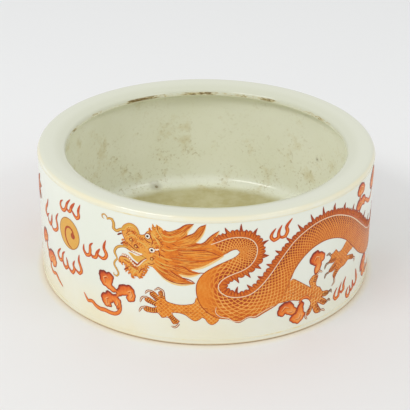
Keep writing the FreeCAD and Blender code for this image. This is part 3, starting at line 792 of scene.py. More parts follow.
CLOUD_SHAPES = [
    [(-62.3, 34.8), (-61.6, 36.6), (-59.2, 37.3), (-57.4, 36.6), (-55.4, 37.2), (-53.4, 36.0),
     (-52.9, 34.0), (-53.8, 31.8), (-54.0, 29.4), (-51.2, 28.0), (-50.6, 26.4), (-53.4, 26.0),
     (-57.0, 27.6), (-59.6, 28.6), (-61.2, 30.2), (-61.8, 32.4)],
    [(-60.6, 18.6), (-61.2, 20.7), (-60.4, 22.5), (-58.5, 23.2), (-57.3, 24.8), (-55.4, 25.0),
     (-53.8, 23.8), (-51.6, 24.4), (-49.6, 22.6), (-48.2, 20.2), (-48.6, 17.4), (-50.6, 15.4),
     (-51.4, 17.6), (-53.0, 19.6), (-55.0, 18.2), (-54.6, 16.0), (-57.0, 15.2), (-59.4, 16.2)],
    [(-50.8, 26.2), (-49.2, 30.0), (-48.0, 31.8), (-45.4, 32.2), (-42.4, 32.6), (-40.4, 31.0),
     (-39.6, 28.4), (-39.3, 25.4), (-40.6, 23.2), (-43.2, 23.0), (-44.4, 24.6), (-43.4, 26.4),
     (-46.2, 26.0), (-48.4, 24.6)],
    [(61.5, 43.6), (62.5, 46.6), (64.4, 48.4), (66.6, 49.0), (68.4, 47.6), (70.6, 46.8), (72.4, 45.0),
     (72.2, 42.4), (70.2, 40.8), (70.0, 38.6), (68.8, 36.2), (67.2, 34.6), (65.4, 35.4), (65.6, 38.0),
     (66.2, 40.2), (64.0, 41.2)],
    [(41.8, 15.2), (42.4, 19.0), (44.2, 21.2), (47.0, 22.0), (49.8, 21.4), (51.4, 19.0), (53.0, 16.6),
     (54.4, 15.4), (53.4, 13.2), (51.0, 13.0), (48.8, 13.8), (46.8, 15.2), (44.4, 13.8)],
    [(54.2, 15.2), (55.4, 18.2), (57.0, 20.0), (58.4, 18.4), (58.2, 15.4), (58.6, 13.0), (59.5, 10.8),
     (57.7, 7.8), (55.0, 6.3), (52.6, 7.4), (50.2, 9.2), (50.2, 11.4), (52.4, 12.8)],
    [(-116.0, 22.4), (-115.2, 25.8), (-112.4, 28.2), (-108.6, 28.8), (-105.2, 27.0), (-103.6, 23.4),
     (-105.2, 20.4), (-108.0, 19.6), (-110.0, 21.4), (-112.6, 19.8)],
    [(-125.6, 30.4), (-125.2, 34.6), (-122.4, 37.8), (-118.8, 37.6), (-116.4, 34.6), (-117.4, 31.2),
     (-120.4, 30.6), (-122.6, 28.4)],
    [(102.4, 70.2), (103.0, 73.6), (105.6, 75.8), (109.0, 75.2), (111.8, 72.8), (111.6, 69.6),
     (108.6, 68.6), (105.4, 68.6)],
    [(102.0, 61.0), (102.6, 64.2), (105.2, 66.2), (108.2, 65.6), (110.8, 66.6), (114.0, 65.0),
     (115.4, 62.2), (113.4, 60.0), (110.4, 61.2), (107.6, 59.4), (104.4, 59.8)],
    [(125.4, 65.6), (125.0, 69.4), (127.4, 72.6), (130.6, 74.8), (134.2, 75.2), (137.0, 72.8),
     (137.2, 69.2), (135.2, 66.8), (135.6, 63.8), (132.6, 62.2), (130.4, 64.2), (128.0, 63.2)],
    [(115.2, 16.4), (116.6, 20.6), (120.4, 23.0), (124.6, 21.8), (126.2, 18.6), (124.2, 15.8),
     (126.6, 13.2), (125.6, 9.6), (121.8, 8.4), (119.0, 11.0), (119.4, 14.2), (116.6, 13.8)],
]
CLOUD_TAILS = [
    ([(-49.0, 19.6), (-48.6, 16.6), (-49.6, 13.8), (-52.0, 12.0), (-55.4, 11.6), (-59.0, 12.0),
      (-62.6, 11.6), (-66.0, 12.6), (-68.6, 14.2), (-71.8, 13.2), (-75.2, 17.6)], 2.8),
    ([(-51.0, 27.4), (-49.6, 25.6), (-50.6, 23.4)], 3.0),
    ([(-112.4, 20.2), (-112.8, 17.0), (-109.0, 14.8), (-104.6, 15.8), (-101.0, 13.6), (-96.2, 11.2)],
     2.2),
    ([(-119.0, 30.8), (-117.4, 27.0), (-113.8, 24.4)], 2.2),
    ([(107.0, 69.2), (106.4, 67.0), (107.4, 65.2)], 2.4),
    ([(112.6, 62.2), (117.0, 61.4), (121.0, 58.8), (125.4, 57.6), (129.6, 59.6), (131.4, 63.0)], 2.8),
    ([(124.2, 10.6), (128.6, 8.0), (133.0, 9.4), (138.0, 7.0), (142.6, 8.8)], 2.4),
    ([(55.6, 19.0), (57.4, 21.4), (60.4, 21.6), (63.4, 19.4)], 2.0),
]
CLOUD_SWIRLS = [
    [(-58.6, 30.4), (-59.4, 33.4), (-57.4, 34.6), (-55.8, 33.4)],
    [(-57.4, 17.4), (-58.2, 20.2), (-56.2, 21.6)],
    [(-44.2, 28.2), (-42.0, 29.6), (-41.2, 26.8), (-42.4, 24.9)],
    [(-55.8, 17.2), (-57.2, 16.4), (-58.2, 17.6)], [(-51.0, 21.4), (-50.2, 19.2), (-51.2, 17.4)],
    [(64.6, 43.2), (66.2, 45.6), (68.8, 44.4), (68.8, 42.2)],
    [(44.0, 17.0), (46.2, 19.4), (48.8, 18.0)], [(47.2, 16.6), (49.4, 15.2), (51.2, 15.4)],
    [(53.0, 9.6), (55.4, 9.2), (56.6, 11.2), (55.2, 12.6)],
    [(-111.6, 23.6), (-109.4, 25.8), (-106.8, 24.0)],
    [(104.8, 71.4), (106.8, 73.8), (109.4, 72.6), (108.6, 70.6)],
    [(104.4, 62.2), (106.6, 64.2), (109.2, 62.8)], [(111.4, 64.4), (113.0, 63.2), (112.2, 61.8)],
    [(128.8, 67.6), (130.0, 71.4), (133.4, 71.4), (133.6, 68.4)],
    [(118.2, 17.4), (120.6, 20.2), (123.2, 18.6)], [(121.4, 11.2), (123.6, 11.4), (123.8, 13.6)],
    [(-121.8, 32.8), (-120.6, 35.2), (-118.6, 33.8)],
]


def cloud_tone(shape):
    """Deep red on a cloud's upper left, running to orange at its lower right."""
    left, right = min(point[0] for point in shape), max(point[0] for point in shape)
    low, high = min(point[1] for point in shape), max(point[1] for point in shape)

    def tone(x, z, from_guide):
        share = 0.4 * (right - x) / (right - left) + 0.6 * (z - low) / (high - low)
        return 0.22 + 0.86 * max(0.0, share - 0.28) ** 1.2

    return tone


LOBE_WIDTH = 3.4
LOBE_DEPTH = 0.45


def lobed(shape):
    """The outline of a cloud's head, broken into the small lobes of a fungus cap."""
    line = flowing(shape, 0.5, closed=True)
    travelled = 0.0
    ruffled = []
    for index, point in enumerate(line):
        ahead = line[(index + 1) % len(line)]
        way = (ahead - line[index - 1]).normalized()
        swell = abs(math.sin(math.pi * travelled / LOBE_WIDTH)) * LOBE_DEPTH
        ruffled.append(point + Vector((-way.y, way.x)) * swell)
        travelled += (ahead - point).length
    return ruffled


def paint_clouds():
    """Fungus-headed clouds: a red rim round an orange heart, with swirls left pale."""
    painting = Painting()
    for tail, width in CLOUD_TAILS:
        painting.stroke(tail, width, "coral", 0.74, ends=(0.7, 0.1), step=0.6, rise=-0.03)
        painting.stroke(tail, width * 0.65, "coral", 0.38, ends=(0.7, 0.1), step=0.6, rise=0.01)
    for number, shape in enumerate(CLOUD_SHAPES):
        rim = painting.wash(lobed(shape), "cloud", cloud_tone(shape), pitch=0.8, smooth=False,
                            lift=LINE_LIFT + 0.01 * (number % 3))
        painting.stroke([tuple(point) for point in rim[::2]], 0.45, "coral", 0.92, closed=True, rise=0.01)
    for swirl in CLOUD_SWIRLS:
        painting.stroke(swirl, 0.55, "coral", 0.10, rise=0.06)
        painting.stroke([(x + 0.5, z - 0.5) for x, z in swirl], 0.35, "coral", 0.78, rise=0.05)
    painting.finish("clouds")


# Dragon's body

BACK = [
    (4.2, 66.6), (9.0, 69.2), (14.5, 70.9), (20.5, 70.8), (26.0, 68.6), (30.3, 63.8), (31.6, 57.5),
    (29.6, 50.8), (24.0, 46.0), (17.5, 43.2), (12.9, 41.2), (11.2, 38.3), (12.6, 35.5), (17.0, 33.2),
    (22.0, 33.3), (28.0, 37.3), (34.0, 44.0), (39.0, 51.0), (45.0, 58.0), (53.0, 64.2), (61.0, 68.3),
    (70.0, 70.3), (79.0, 69.6), (88.0, 67.0), (97.0, 62.7), (106.0, 57.0), (115.0, 50.0), (124.0, 43.3),
    (133.0, 40.2), (142.0, 41.4), (150.0, 46.2), (157.0, 52.6), (165.0, 58.2), (172.0, 60.8),
]
BELLY = [
    (172.6, 56.4), (166.0, 50.5), (160.0, 40.5), (153.0, 30.8), (144.0, 24.6), (134.0, 22.0),
    (124.0, 22.6), (116.0, 26.4), (109.0, 30.9), (101.0, 38.0), (93.0, 45.6), (84.0, 51.0),
    (74.0, 53.6), (65.0, 52.6), (58.0, 48.9), (52.0, 42.5), (49.2, 36.5), (46.5, 29.5), (42.5, 23.0),
    (38.0, 20.5), (33.0, 18.3), (28.5, 16.2), (24.5, 16.8), (19.0, 14.2), (13.2, 17.0), (8.0, 17.8),
    (3.0, 20.7), (-1.2, 25.0), (-3.6, 30.0), (-4.6, 36.0), (-3.8, 41.2), (-0.4, 46.4), (5.0, 50.3),
    (12.0, 53.8), (16.8, 56.2), (18.7, 58.6), (17.2, 60.3), (14.0, 59.9), (11.0, 57.9),
]
FIN_TIPS = [
    (10.5, 73.2), (19.0, 74.8), (27.6, 71.4), (33.8, 63.6), (34.3, 54.6), (30.4, 47.4), (24.6, 42.8),
    (18.4, 40.2), (17.8, 36.6), (23.4, 37.4), (29.4, 42.2), (34.2, 48.8), (39.2, 56.2), (45.4, 62.8),
    (52.4, 68.8), (60.6, 72.6), (69.2, 74.6), (78.8, 73.6), (88.4, 70.6), (98.0, 66.0), (107.4, 60.2),
    (116.4, 53.4), (125.6, 47.0), (135.4, 44.6), (144.6, 46.6), (151.4, 51.4), (158.0, 57.2),
    (166.0, 62.4),
]
DORSAL_LINE = [
    (3.0, 64.0), (7.0, 65.5), (12.5, 67.4), (19.0, 67.6), (24.6, 65.7), (27.6, 62.0), (28.3, 58.0),
    (27.0, 53.2), (24.3, 49.6), (20.0, 47.0), (15.0, 45.2), (10.2, 42.6), (7.5, 39.0), (8.0, 35.4),
    (11.0, 32.4), (15.0, 30.9), (20.0, 30.6), (25.0, 31.6), (30.0, 35.0), (35.0, 40.5), (38.5, 45.2),
    (42.0, 50.0), (46.0, 55.0), (50.0, 59.4), (55.0, 63.0), (60.0, 65.4), (65.0, 67.0), (70.0, 67.7),
    (75.0, 67.5), (80.0, 66.7), (85.0, 65.0), (90.0, 62.7), (95.0, 60.0), (100.0, 56.6), (105.0, 52.8),
    (110.0, 48.8), (115.0, 45.2), (122.0, 40.4), (132.0, 37.0), (142.0, 38.2), (151.0, 43.4),
    (159.0, 50.6), (167.0, 56.6),
]
BELLY_LINE = [
    (6.4, 25.0), (6.2, 21.6), (8.6, 18.9), (13.0, 17.6), (16.2, 15.4), (20.0, 15.0), (24.2, 17.2),
    (28.2, 17.0), (31.4, 18.6), (35.0, 20.4), (39.0, 21.8),
]
HOOK_HALF_BASE = 1.5
HIGHEST_PAINT = 75.8
SCALLOP_SPACING = 2.5
SCALLOP_HEIGHT = 1.3

# Where the body's wash runs on under the mane
NECK_UNDER_MANE = [(-1.0, 64.4), (-2.4, 61.0), (-1.0, 57.0), (4.0, 55.6)]


def runs_outside(points, covers):
    """Splits a line into the runs that no cover hides, and keeps every second point of them."""
    hidden = np.zeros(len(points), bool)
    for cover in covers:
        hidden |= inside_outline(points, cover)
    runs, run = [], []
    for index, (point, is_hidden) in enumerate(zip(points, hidden)):
        if is_hidden:
            runs.append(run)
            run = []
        elif index % 2 == 0:
            run.append(tuple(point))
    runs.append(run)
    return [run for run in runs if len(run) > 2]


def body_tone(x, z, from_back):
    """Dark beside the back line, orange over the flank, and palest on the belly of the first bend."""
    tone = 0.53 + (0.10 * max(0.0, 1 - from_back / 8) if from_back > BAND_WIDTH else 0.04)
    if x < 7 and z < 52:
        tone -= 0.12 * min(1.0, (7 - x) / 6)
    low_belly = max(0.0, 1 - abs(z - 17) / 5) if 3 < x < 40 else 0.0
    far_arch = max(0.0, min(1.0, (x - 36) / 20))
    return tone + 0.10 * low_belly + 0.08 * far_arch


def body_scales(x, z):
    """The smooth belly of the first bend has hardly any scales."""
    return max(0.1, min(1.0, (x - 1) / 8)) if z < 50 else 1.0


def long_tip(tip, back):
    """A fin's tip as painted, drawn out a little past the film that carries it."""
    root = min(back, key=lambda point: (point - Vector(tip)).length)
    longer = root + (Vector(tip) - root) * 1.25
    return Vector((longer.x, min(longer.y, HIGHEST_PAINT)))


def finned_back(back):
    """The back line with a slender hook at each fin tip and low scallops between the hooks."""
    _, feet = gap_to_line(FIN_TIPS, back)
    lengths = [0.0]
    for start, end in zip(back, back[1:]):
        lengths.append(lengths[-1] + (end - start).length)

    def at(distance, height=0.0):
        index = max(1, min(int(np.searchsorted(lengths, distance)), len(back) - 2))
        way = (back[index + 1] - back[index - 1]).normalized()
        return back[index] + Vector((-way.y, way.x)) * height

    line = [at(0.0)]
    previous = 0.0
    for short_tip, foot in zip(FIN_TIPS, feet):
        tip = long_tip(short_tip, back)
        space = foot - HOOK_HALF_BASE - previous
        bumps = max(1, round(space / SCALLOP_SPACING))
        for bump in range(bumps):
            for share, height in ((0.2, 0.75), (0.5, 1.0), (0.8, 0.75), (1.0, 0.0)):
                line.append(at(previous + space * (bump + share) / bumps, SCALLOP_HEIGHT * height))
        shaft = at(foot, 1.0)
        stem = shaft + (tip - shaft) * 0.35
        half_stem = (at(foot + 0.9) - at(foot - 0.9)) * 0.3
        line += [at(foot - 0.9, 0.7), stem - half_stem * 1.3, tip, stem + half_stem * 0.7,
                 at(foot + 0.9, 0.7), at(foot + HOOK_HALF_BASE)]
        previous = foot + HOOK_HALF_BASE
    line.append(back[-1])
    return line


def paint_body():
    painting = Painting()
    back = flowing(BACK, 0.8)
    fin = finned_back(back)
    belly = flowing(BELLY, 1.0)
    inside = back + belly
    neck = [Vector(point) for point in reversed(NECK_UNDER_MANE)]
    painting.wash([tuple(p) for p in fin + belly + neck], "scales", body_tone, guide=back,
                  beyond=inside + neck, smooth=False, scaly=body_scales)
    painting.stroke([tuple(p) for p in fin], 0.42, "line", 0.80, ends=(1, 1), step=1.0)
    for run in runs_outside(belly, [flowing(FAR_FORELEG, 1.0, closed=True)]):
        painting.stroke(run, 0.42, "line", 0.78, ends=(0.5, 0.5), step=1.0)
    for short_tip in FIN_TIPS:
        tip = long_tip(short_tip, back)
        root = min(back, key=lambda point: (point - tip).length)
        spine = [tuple(root), tuple(root + (tip - root) * 0.6), tuple(tip)]
        painting.stroke(spine, 0.7, "line", 0.84, ends=(0.6, 0.2))
    chance = random.Random(11)
    for index in range(1, len(back) - 1):
        way = (back[index + 1] - back[index - 1]).normalized()
        inward = Vector((way.y, -way.x))
        slant = way * 0.5
        reach = chance.uniform(1.2, 2.7)
        if index % 2:
            ray = [tuple(back[index] - inward * 0.6), tuple(back[index] + inward * reach + slant)]
            painting.stroke(ray, chance.uniform(0.35, 0.6), "line", chance.uniform(0.68, 0.82),
                            ends=(0.9, 0.1))
        else:
            ray = [tuple(back[index]), tuple(back[index] + inward * reach + slant)]
            painting.stroke(ray, 0.3, "line", 0.40, ends=(0.3, 0.3))
    painting.stroke(DORSAL_LINE, 0.55, "cream", 0.8, ends=(0.8, 0.6), rise=0.05)
    painting.stroke(BELLY_LINE, 0.45, "cream", 0.8, ends=(0.5, 0.5), rise=0.05)
    painting.finish("dragon_body")


# Legs and tail

NEAR_FORELEG = [
    (-4.7, 31.0), (0.0, 30.0), (3.6, 26.0), (7.4, 22.0), (8.6, 18.4), (6.6, 15.0), (4.4, 13.7),
    (2.0, 15.0), (0.4, 17.6), (-1.2, 18.4), (-3.0, 16.8), (-5.0, 16.0), (-7.4, 17.2), (-10.5, 19.6),
    (-14.5, 20.6), (-18.2, 20.2), (-16.6, 17.8), (-13.6, 15.2), (-14.6, 14.0), (-17.0, 12.8),
    (-18.8, 16.0), (-20.6, 17.8), (-22.4, 16.3), (-24.4, 17.0), (-25.0, 19.2), (-29.0, 18.6),
    (-33.4, 18.7), (-34.2, 20.6), (-33.4, 22.2), (-27.6, 21.8), (-26.3, 23.0), (-29.6, 24.2),
    (-33.0, 25.0), (-33.4, 27.0), (-31.8, 28.4), (-26.4, 25.8), (-27.4, 27.6), (-30.6, 29.8),
    (-29.8, 32.0), (-28.0, 32.6), (-25.0, 29.4), (-25.4, 32.4), (-23.4, 33.8), (-22.0, 31.0),
    (-21.4, 27.8), (-20.0, 26.8), (-15.0, 25.8), (-10.0, 26.0), (-5.4, 27.2),
]
FAR_FORELEG = [
    (46.4, 33.6), (44.0, 29.4), (41.4, 22.6), (49.6, 22.6), (55.4, 20.9), (60.2, 20.5), (63.4, 17.6),
    (63.4, 14.4), (60.6, 11.0), (61.8, 8.4), (64.4, 11.0), (65.2, 13.8), (66.6, 9.8), (69.2, 7.8),
    (72.6, 8.4), (70.6, 11.2), (68.4, 15.6), (71.4, 13.4), (74.6, 11.4), (77.2, 12.6), (75.6, 14.4),
    (71.6, 17.8), (76.6, 16.8), (78.6, 18.4), (76.4, 20.0), (72.6, 21.0), (70.2, 24.6), (67.2, 26.6),
    (67.4, 30.2), (68.6, 32.8), (66.2, 34.2), (64.0, 33.6), (61.6, 31.2), (63.4, 26.6), (60.0, 29.2),
    (56.0, 32.4), (50.6, 36.4),
]
NEAR_HIND_LEG = [
    (93.6, 46.8), (98.6, 43.6), (102.4, 38.6), (100.2, 37.6), (96.6, 37.0), (93.4, 35.6), (96.6, 34.6),
    (101.6, 32.6), (102.6, 29.8), (99.4, 30.6), (95.6, 32.0), (92.0, 30.4), (87.0, 29.8), (83.6, 27.0),
    (82.4, 24.6), (80.8, 28.4), (83.6, 32.0), (79.4, 31.0), (76.4, 31.8), (79.0, 34.6), (82.4, 36.6),
    (78.6, 37.0), (75.6, 38.0), (78.2, 40.6), (77.6, 42.6), (80.6, 43.0), (82.2, 44.6), (84.8, 41.2),
    (88.0, 42.0),
]
FAR_HIND_LEG = [
    (140.2, 22.4), (147.2, 25.8), (152.0, 22.4), (156.4, 17.6), (158.6, 14.0), (163.0, 16.2),
    (166.4, 14.4), (162.8, 12.2), (164.8, 9.4), (160.8, 8.0), (158.4, 10.2), (155.8, 7.4),
    (154.6, 10.6), (151.6, 9.0), (151.4, 12.8), (147.6, 17.2), (143.0, 20.2),
]
CLAWS = [
    [(-33.0, 21.6), (-35.4, 20.4), (-36.9, 17.3)], [(-31.8, 28.0), (-34.8, 27.2), (-36.1, 23.8)],
    [(-28.8, 32.2), (-31.6, 32.0), (-33.1, 29.8)],
    [(-22.3, 30.4), (-22.9, 33.4), (-25.4, 34.9), (-27.9, 33.0)],
    [(-13.9, 13.5), (-15.9, 11.2), (-18.3, 11.6)], [(60.8, 11.6), (60.4, 8.8), (61.8, 6.4)],
    [(71.0, 8.2), (73.4, 8.6), (75.6, 6.8)], [(76.0, 12.2), (78.2, 13.6), (80.0, 11.8)],
    [(77.4, 18.2), (79.6, 19.2), (80.8, 16.8)], [(67.2, 33.6), (69.2, 35.6), (71.6, 33.8)],
    [(82.2, 25.4), (82.4, 23.0), (80.2, 21.2)], [(77.0, 31.4), (74.8, 31.2), (73.6, 28.6)],
    [(76.4, 37.8), (74.4, 37.6), (73.2, 34.8)], [(78.0, 41.8), (76.6, 43.8), (74.0, 43.2)],
    [(102.0, 30.4), (104.0, 29.6), (103.8, 26.8)], [(165.6, 14.6), (168.4, 14.6), (169.8, 12.2)],
    [(164.2, 9.4), (166.6, 8.8), (166.4, 6.2)], [(155.8, 8.0), (155.2, 5.8), (156.4, 4.6)],
]
TOE_LINES = [
    ((-25.8, 20.4), (-32.8, 20.4), 2.6), ((-26.8, 23.8), (-32.0, 26.4), 2.8),
    ((-25.6, 26.6), (-29.6, 31.2), 2.8), ((-23.4, 28.2), (-23.6, 32.8), 2.6),
    ((-19.4, 18.4), (-15.4, 14.6), 2.4), ((64.0, 15.0), (61.8, 10.4), 2.0),
    ((67.6, 14.6), (71.2, 9.0), 2.2), ((71.0, 15.6), (75.4, 12.6), 2.0),
    ((72.4, 18.8), (77.4, 18.2), 2.0), ((65.4, 29.0), (67.0, 33.0), 2.4),
    ((84.6, 31.0), (81.8, 26.4), 2.0), ((83.6, 34.0), (77.6, 32.4), 2.0),
    ((83.4, 38.0), (77.0, 38.6), 2.0), ((96.8, 33.6), (101.8, 31.0), 2.2),
]


FLECKS = 60

# Each limb's outline, its middle line, its enamel, and the line that its net of scales follows
LEVEL_GUIDE = [Vector((-60.0, 0.0)), Vector((190.0, 0.0))]
FORELEGS = [
    (NEAR_FORELEG, [(-30, 24), (-10, 23), (6, 20)], "limb", LEVEL_GUIDE),
    (FAR_FORELEG, [(48, 30), (62, 24), (76, 12)], "scales", None),
]
HIND_LEGS = [
    (NEAR_HIND_LEG, [(98, 40), (88, 36), (78, 34)], "limb", LEVEL_GUIDE),
    (FAR_HIND_LEG, [(144, 24), (156, 14), (164, 10)], "limb", LEVEL_GUIDE),
]

# How far along the wall the claws and toes of each pair lie
FORELEG_REACH = (-60, 81)
HIND_LEG_REACH = (72, 190)


def limb_tone(x, z, from_guide):
    """A touch redder toward the low toes, and darker on the limbs behind the saddle."""
    return 0.43 + 0.08 * max(0.0, min(1.0, (16 - z) / 8)) + (0.07 if x > 40 else 0.0)


def toe_stripes(painting, start, end, width):
    """Short dark bands across a toe."""
    start, end = Vector(start), Vector(end)
    way = (end - start).normalized()
    aside = Vector((-way.y, way.x)) * width / 2
    bands = max(2, round((end - start).length / 1.1))
    for band in range(bands):
        middle = start + (end - start) * (band + 0.5) / bands
        painting.stroke([tuple(middle - aside), tuple(middle + way * 0.4), tuple(middle + aside)], 0.5,
                        "line", 0.90, ends=(0.5, 0.5), step=0.6)


def paint_legs(node, limbs, reach):
    """Limbs with a net of scales, flecks along them, dark outlines, banded toes and hooked claws."""
    painting = Painting()
    chance = random.Random(len(node))
    back = flowing(BACK, 0.8)
    body = back + flowing(BELLY, 1.0)
    for outline, middle, paint, guide in limbs:
        middle = flowing(middle, 1.0)
        rim = painting.wash(outline, paint, limb_tone, guide=guide or back, lift=WASH_LIFT - 0.02)
        for run in runs_outside(rim + rim[:1], [body]):
            painting.stroke(run, 0.4, "line", 0.80, ends=(0.6, 0.6), rise=-0.02)
        flecks = [
            middle[chance.randrange(len(middle))] + Vector((chance.uniform(-4, 4), chance.uniform(-4, 4)))
            for _ in range(FLECKS)
        ]
        gaps, _ = gap_to_line(flecks, rim, closed=True)
        for fleck, kept, gap in zip(flecks, inside_outline(flecks, rim), gaps):
            if kept and gap > 0.8:
                lean = Vector((0.7, chance.uniform(-0.4, 0.1)))
                painting.stroke([tuple(fleck - lean), tuple(fleck + lean)], 0.36, "line",
                                chance.uniform(0.60, 0.78), rise=-0.01)
    low, high = reach
    for claw in CLAWS:
        if low < claw[0][0] < high:
            painting.stroke(claw, 1.4, "line", 0.88, ends=(1.0, 0.05), step=0.5)
            painting.stroke(claw, 0.55, "cream", 0.9, ends=(1.0, 0.0), step=0.5, rise=0.04)
    for start, end, width in TOE_LINES:
        if low < start[0] < high:
            toe_stripes(painting, start, end, width)
    painting.finish(node)


TAIL_FAN = [
    (173.0, 60.6), (177.0, 65.0), (184.0, 69.4), (181.0, 63.6), (188.0, 62.8), (182.0, 59.4),
    (186.4, 54.0), (179.4, 56.4), (179.0, 50.6), (173.5, 56.6),
]


TAIL_ROOT = (173.4, 58.6)
TAIL_TIPS = [(184.0, 69.4), (188.0, 62.8), (186.4, 54.0), (179.0, 50.6)]


def paint_tail():
    painting = Painting()
    rim = painting.wash(TAIL_FAN, "wash", 0.5)
    painting.stroke([tuple(point) for point in rim[::2]], 0.5, "line", 0.82, closed=True)
    for tip in TAIL_TIPS:
        bend = ((TAIL_ROOT[0] + tip[0]) / 2 + 0.6, (TAIL_ROOT[1] + tip[1]) / 2)
        painting.stroke([TAIL_ROOT, bend, tip], 0.5, "line", 0.8)
    painting.finish("dragon_tail")


# Head and mane

MANE = [
    (-21.9, 71.2), (-19.0, 70.4), (-14.5, 72.3), (-10.5, 75.2), (-6.0, 76.0), (-9.3, 72.3),
    (-9.8, 68.6), (-6.0, 70.5), (-3.0, 74.2), (0.4, 75.9), (-1.3, 70.5), (-5.2, 64.8), (-1.0, 64.6),
    (3.2, 69.2), (7.4, 72.2), (5.2, 69.6), (3.2, 66.6), (10.2, 57.4), (5.0, 54.2), (-1.0, 50.6),
    (-8.0, 48.4), (-5.0, 46.8), (-2.2, 46.2), (-8.0, 44.6), (-14.5, 45.2), (-11.0, 42.4), (-5.4, 39.9),
    (-14.0, 39.2), (-21.0, 41.4), (-28.4, 47.2), (-26.4, 53.8), (-24.0, 60.0), (-23.4, 66.0),
]
LOCKS = [
    ([(-23.5, 70.6), (-19.0, 70.6), (-14.5, 72.5), (-10.5, 75.0), (-6.2, 76.0)],
     [(-21.0, 63.5), (-16.0, 65.5), (-11.5, 68.4), (-9.3, 72.0), (-6.2, 76.0)]),
    ([(-17.0, 64.8), (-9.8, 68.4), (-6.0, 70.4), (-3.0, 74.0), (0.3, 75.8)],
     [(-18.0, 60.8), (-9.0, 62.8), (-4.4, 65.8), (-1.4, 70.3), (0.3, 75.8)]),
    ([(-14.0, 61.8), (-5.4, 64.4), (-1.0, 64.9), (3.0, 69.0), (7.2, 72.0)],
     [(-15.0, 59.8), (-5.0, 61.8), (1.0, 63.8), (4.8, 67.6), (7.2, 72.0)]),
    ([(-15.0, 59.6), (-6.0, 61.4), (3.0, 61.6), (10.0, 57.6)],
     [(-18.5, 55.8), (-8.0, 56.0), (1.0, 56.4), (10.0, 57.6)]),
    ([(-19.0, 55.4), (-8.0, 55.6), (2.0, 55.6), (9.6, 57.0)],
     [(-20.5, 51.0), (-12.0, 50.0), (-3.0, 50.2), (4.6, 53.6)]),
    ([(-21.5, 51.0), (-14.0, 49.8), (-8.0, 48.0), (-2.4, 46.4)],
     [(-24.0, 48.6), (-18.0, 46.6), (-9.0, 44.9), (-2.4, 46.2)]),
    ([(-24.5, 49.6), (-19.0, 46.0), (-12.0, 42.6), (-5.6, 40.0)],
     [(-27.0, 46.6), (-21.0, 41.8), (-14.0, 39.6), (-5.6, 39.8)]),
]
LOCK_EDGES = [
    [(-22.0, 70.9), (-19.0, 70.4), (-14.5, 72.3), (-10.5, 75.2), (-6.0, 76.0)],
    [(-13.0, 66.6), (-9.8, 68.6), (-6.0, 70.5), (-3.0, 74.2), (0.4, 75.9)],
    [(-15.5, 62.0), (-10.0, 62.0), (-5.0, 63.6), (-1.0, 64.8), (3.2, 69.2), (7.4, 72.2)],
    [(-15.5, 59.6), (-10.0, 60.0), (0.0, 60.2), (8.0, 57.0)],
    [(-16.0, 50.6), (-11.5, 49.8), (-7.0, 46.8), (-0.5, 46.4)],
    [(-19.5, 47.5), (-14.0, 43.5), (-8.0, 41.8), (-5.2, 39.9)],
    [(-27.0, 46.6), (-21.0, 41.4), (-14.0, 39.3), (-5.4, 39.8)],
    [(-20.0, 54.6), (-10.0, 53.6), (0.0, 54.0), (8.4, 56.6)],
]
FADED_EDGES = [
    [(-14.0, 67.0), (-10.6, 68.4), (-9.6, 71.6), (-6.6, 75.2)],
    [(-7.6, 63.8), (-4.6, 65.8), (-1.6, 70.4), (0.2, 75.0)], [(3.6, 66.2), (5.6, 69.2), (7.4, 71.6)],
    [(-9.0, 48.2), (-2.0, 49.8), (4.6, 53.4), (10.0, 56.8)],
    [(-15.0, 44.8), (-8.4, 44.2), (-2.6, 46.0)],
    [(-26.6, 46.0), (-20.8, 40.8), (-14.0, 38.6), (-6.0, 39.4)],
]
GOLDEN_LOCKS = [
    [(-27.4, 50.6), (-24.6, 48.8), (-20.0, 47.2)], [(-26.6, 52.2), (-23.0, 50.4), (-18.4, 49.4)],
    [(-26.8, 48.6), (-23.6, 46.0), (-19.6, 44.2)], [(-25.4, 54.8), (-22.0, 53.8), (-17.4, 53.2)],
    [(-24.0, 68.8), (-20.4, 67.2), (-16.2, 67.8)], [(-23.0, 64.8), (-19.4, 64.2), (-15.0, 65.6)],
    [(-22.6, 59.4), (-19.0, 59.0), (-14.6, 60.4)],
]
DASHES = [
    [(-24.0, 59.0), (-21.0, 57.8)], [(-24.5, 56.0), (-21.5, 54.6)], [(-22.0, 53.0), (-19.0, 51.6)],
    [(-14.5, 57.4), (-11.5, 56.6)], [(-18.0, 63.4), (-15.2, 62.4)], [(-21.0, 61.6), (-18.4, 60.4)],
    [(-19.6, 68.4), (-16.8, 67.6)], [(-24.4, 50.4), (-21.6, 48.6)],
]


def mane_tone(x, z, from_guide):
    """Golden by the head, orange in the middle and a little yellower along the locks."""
    return 0.36 + 0.12 * min(1.0, max(0.0, (x + 26) / 8)) - 0.09 * min(1.0, max(0.0, (x + 16) / 22))


HAIRS = 20


def lock_tone(x, z, from_upper_edge):
    """A lock is dark along its upper edge and fades to pale gold below, most toward its tip."""
    fading = 0.12 + 0.20 * max(0.0, min(1.0, (x + 18) / 14)) * min(1.0, abs(z - 55) / 8)
    return 0.53 - fading * min(1.0, from_upper_edge / 3.8)


def between(first, second, share):
    return [(a[0] + (b[0] - a[0]) * share, a[1] + (b[1] - a[1]) * share) for a, b in zip(first, second)]


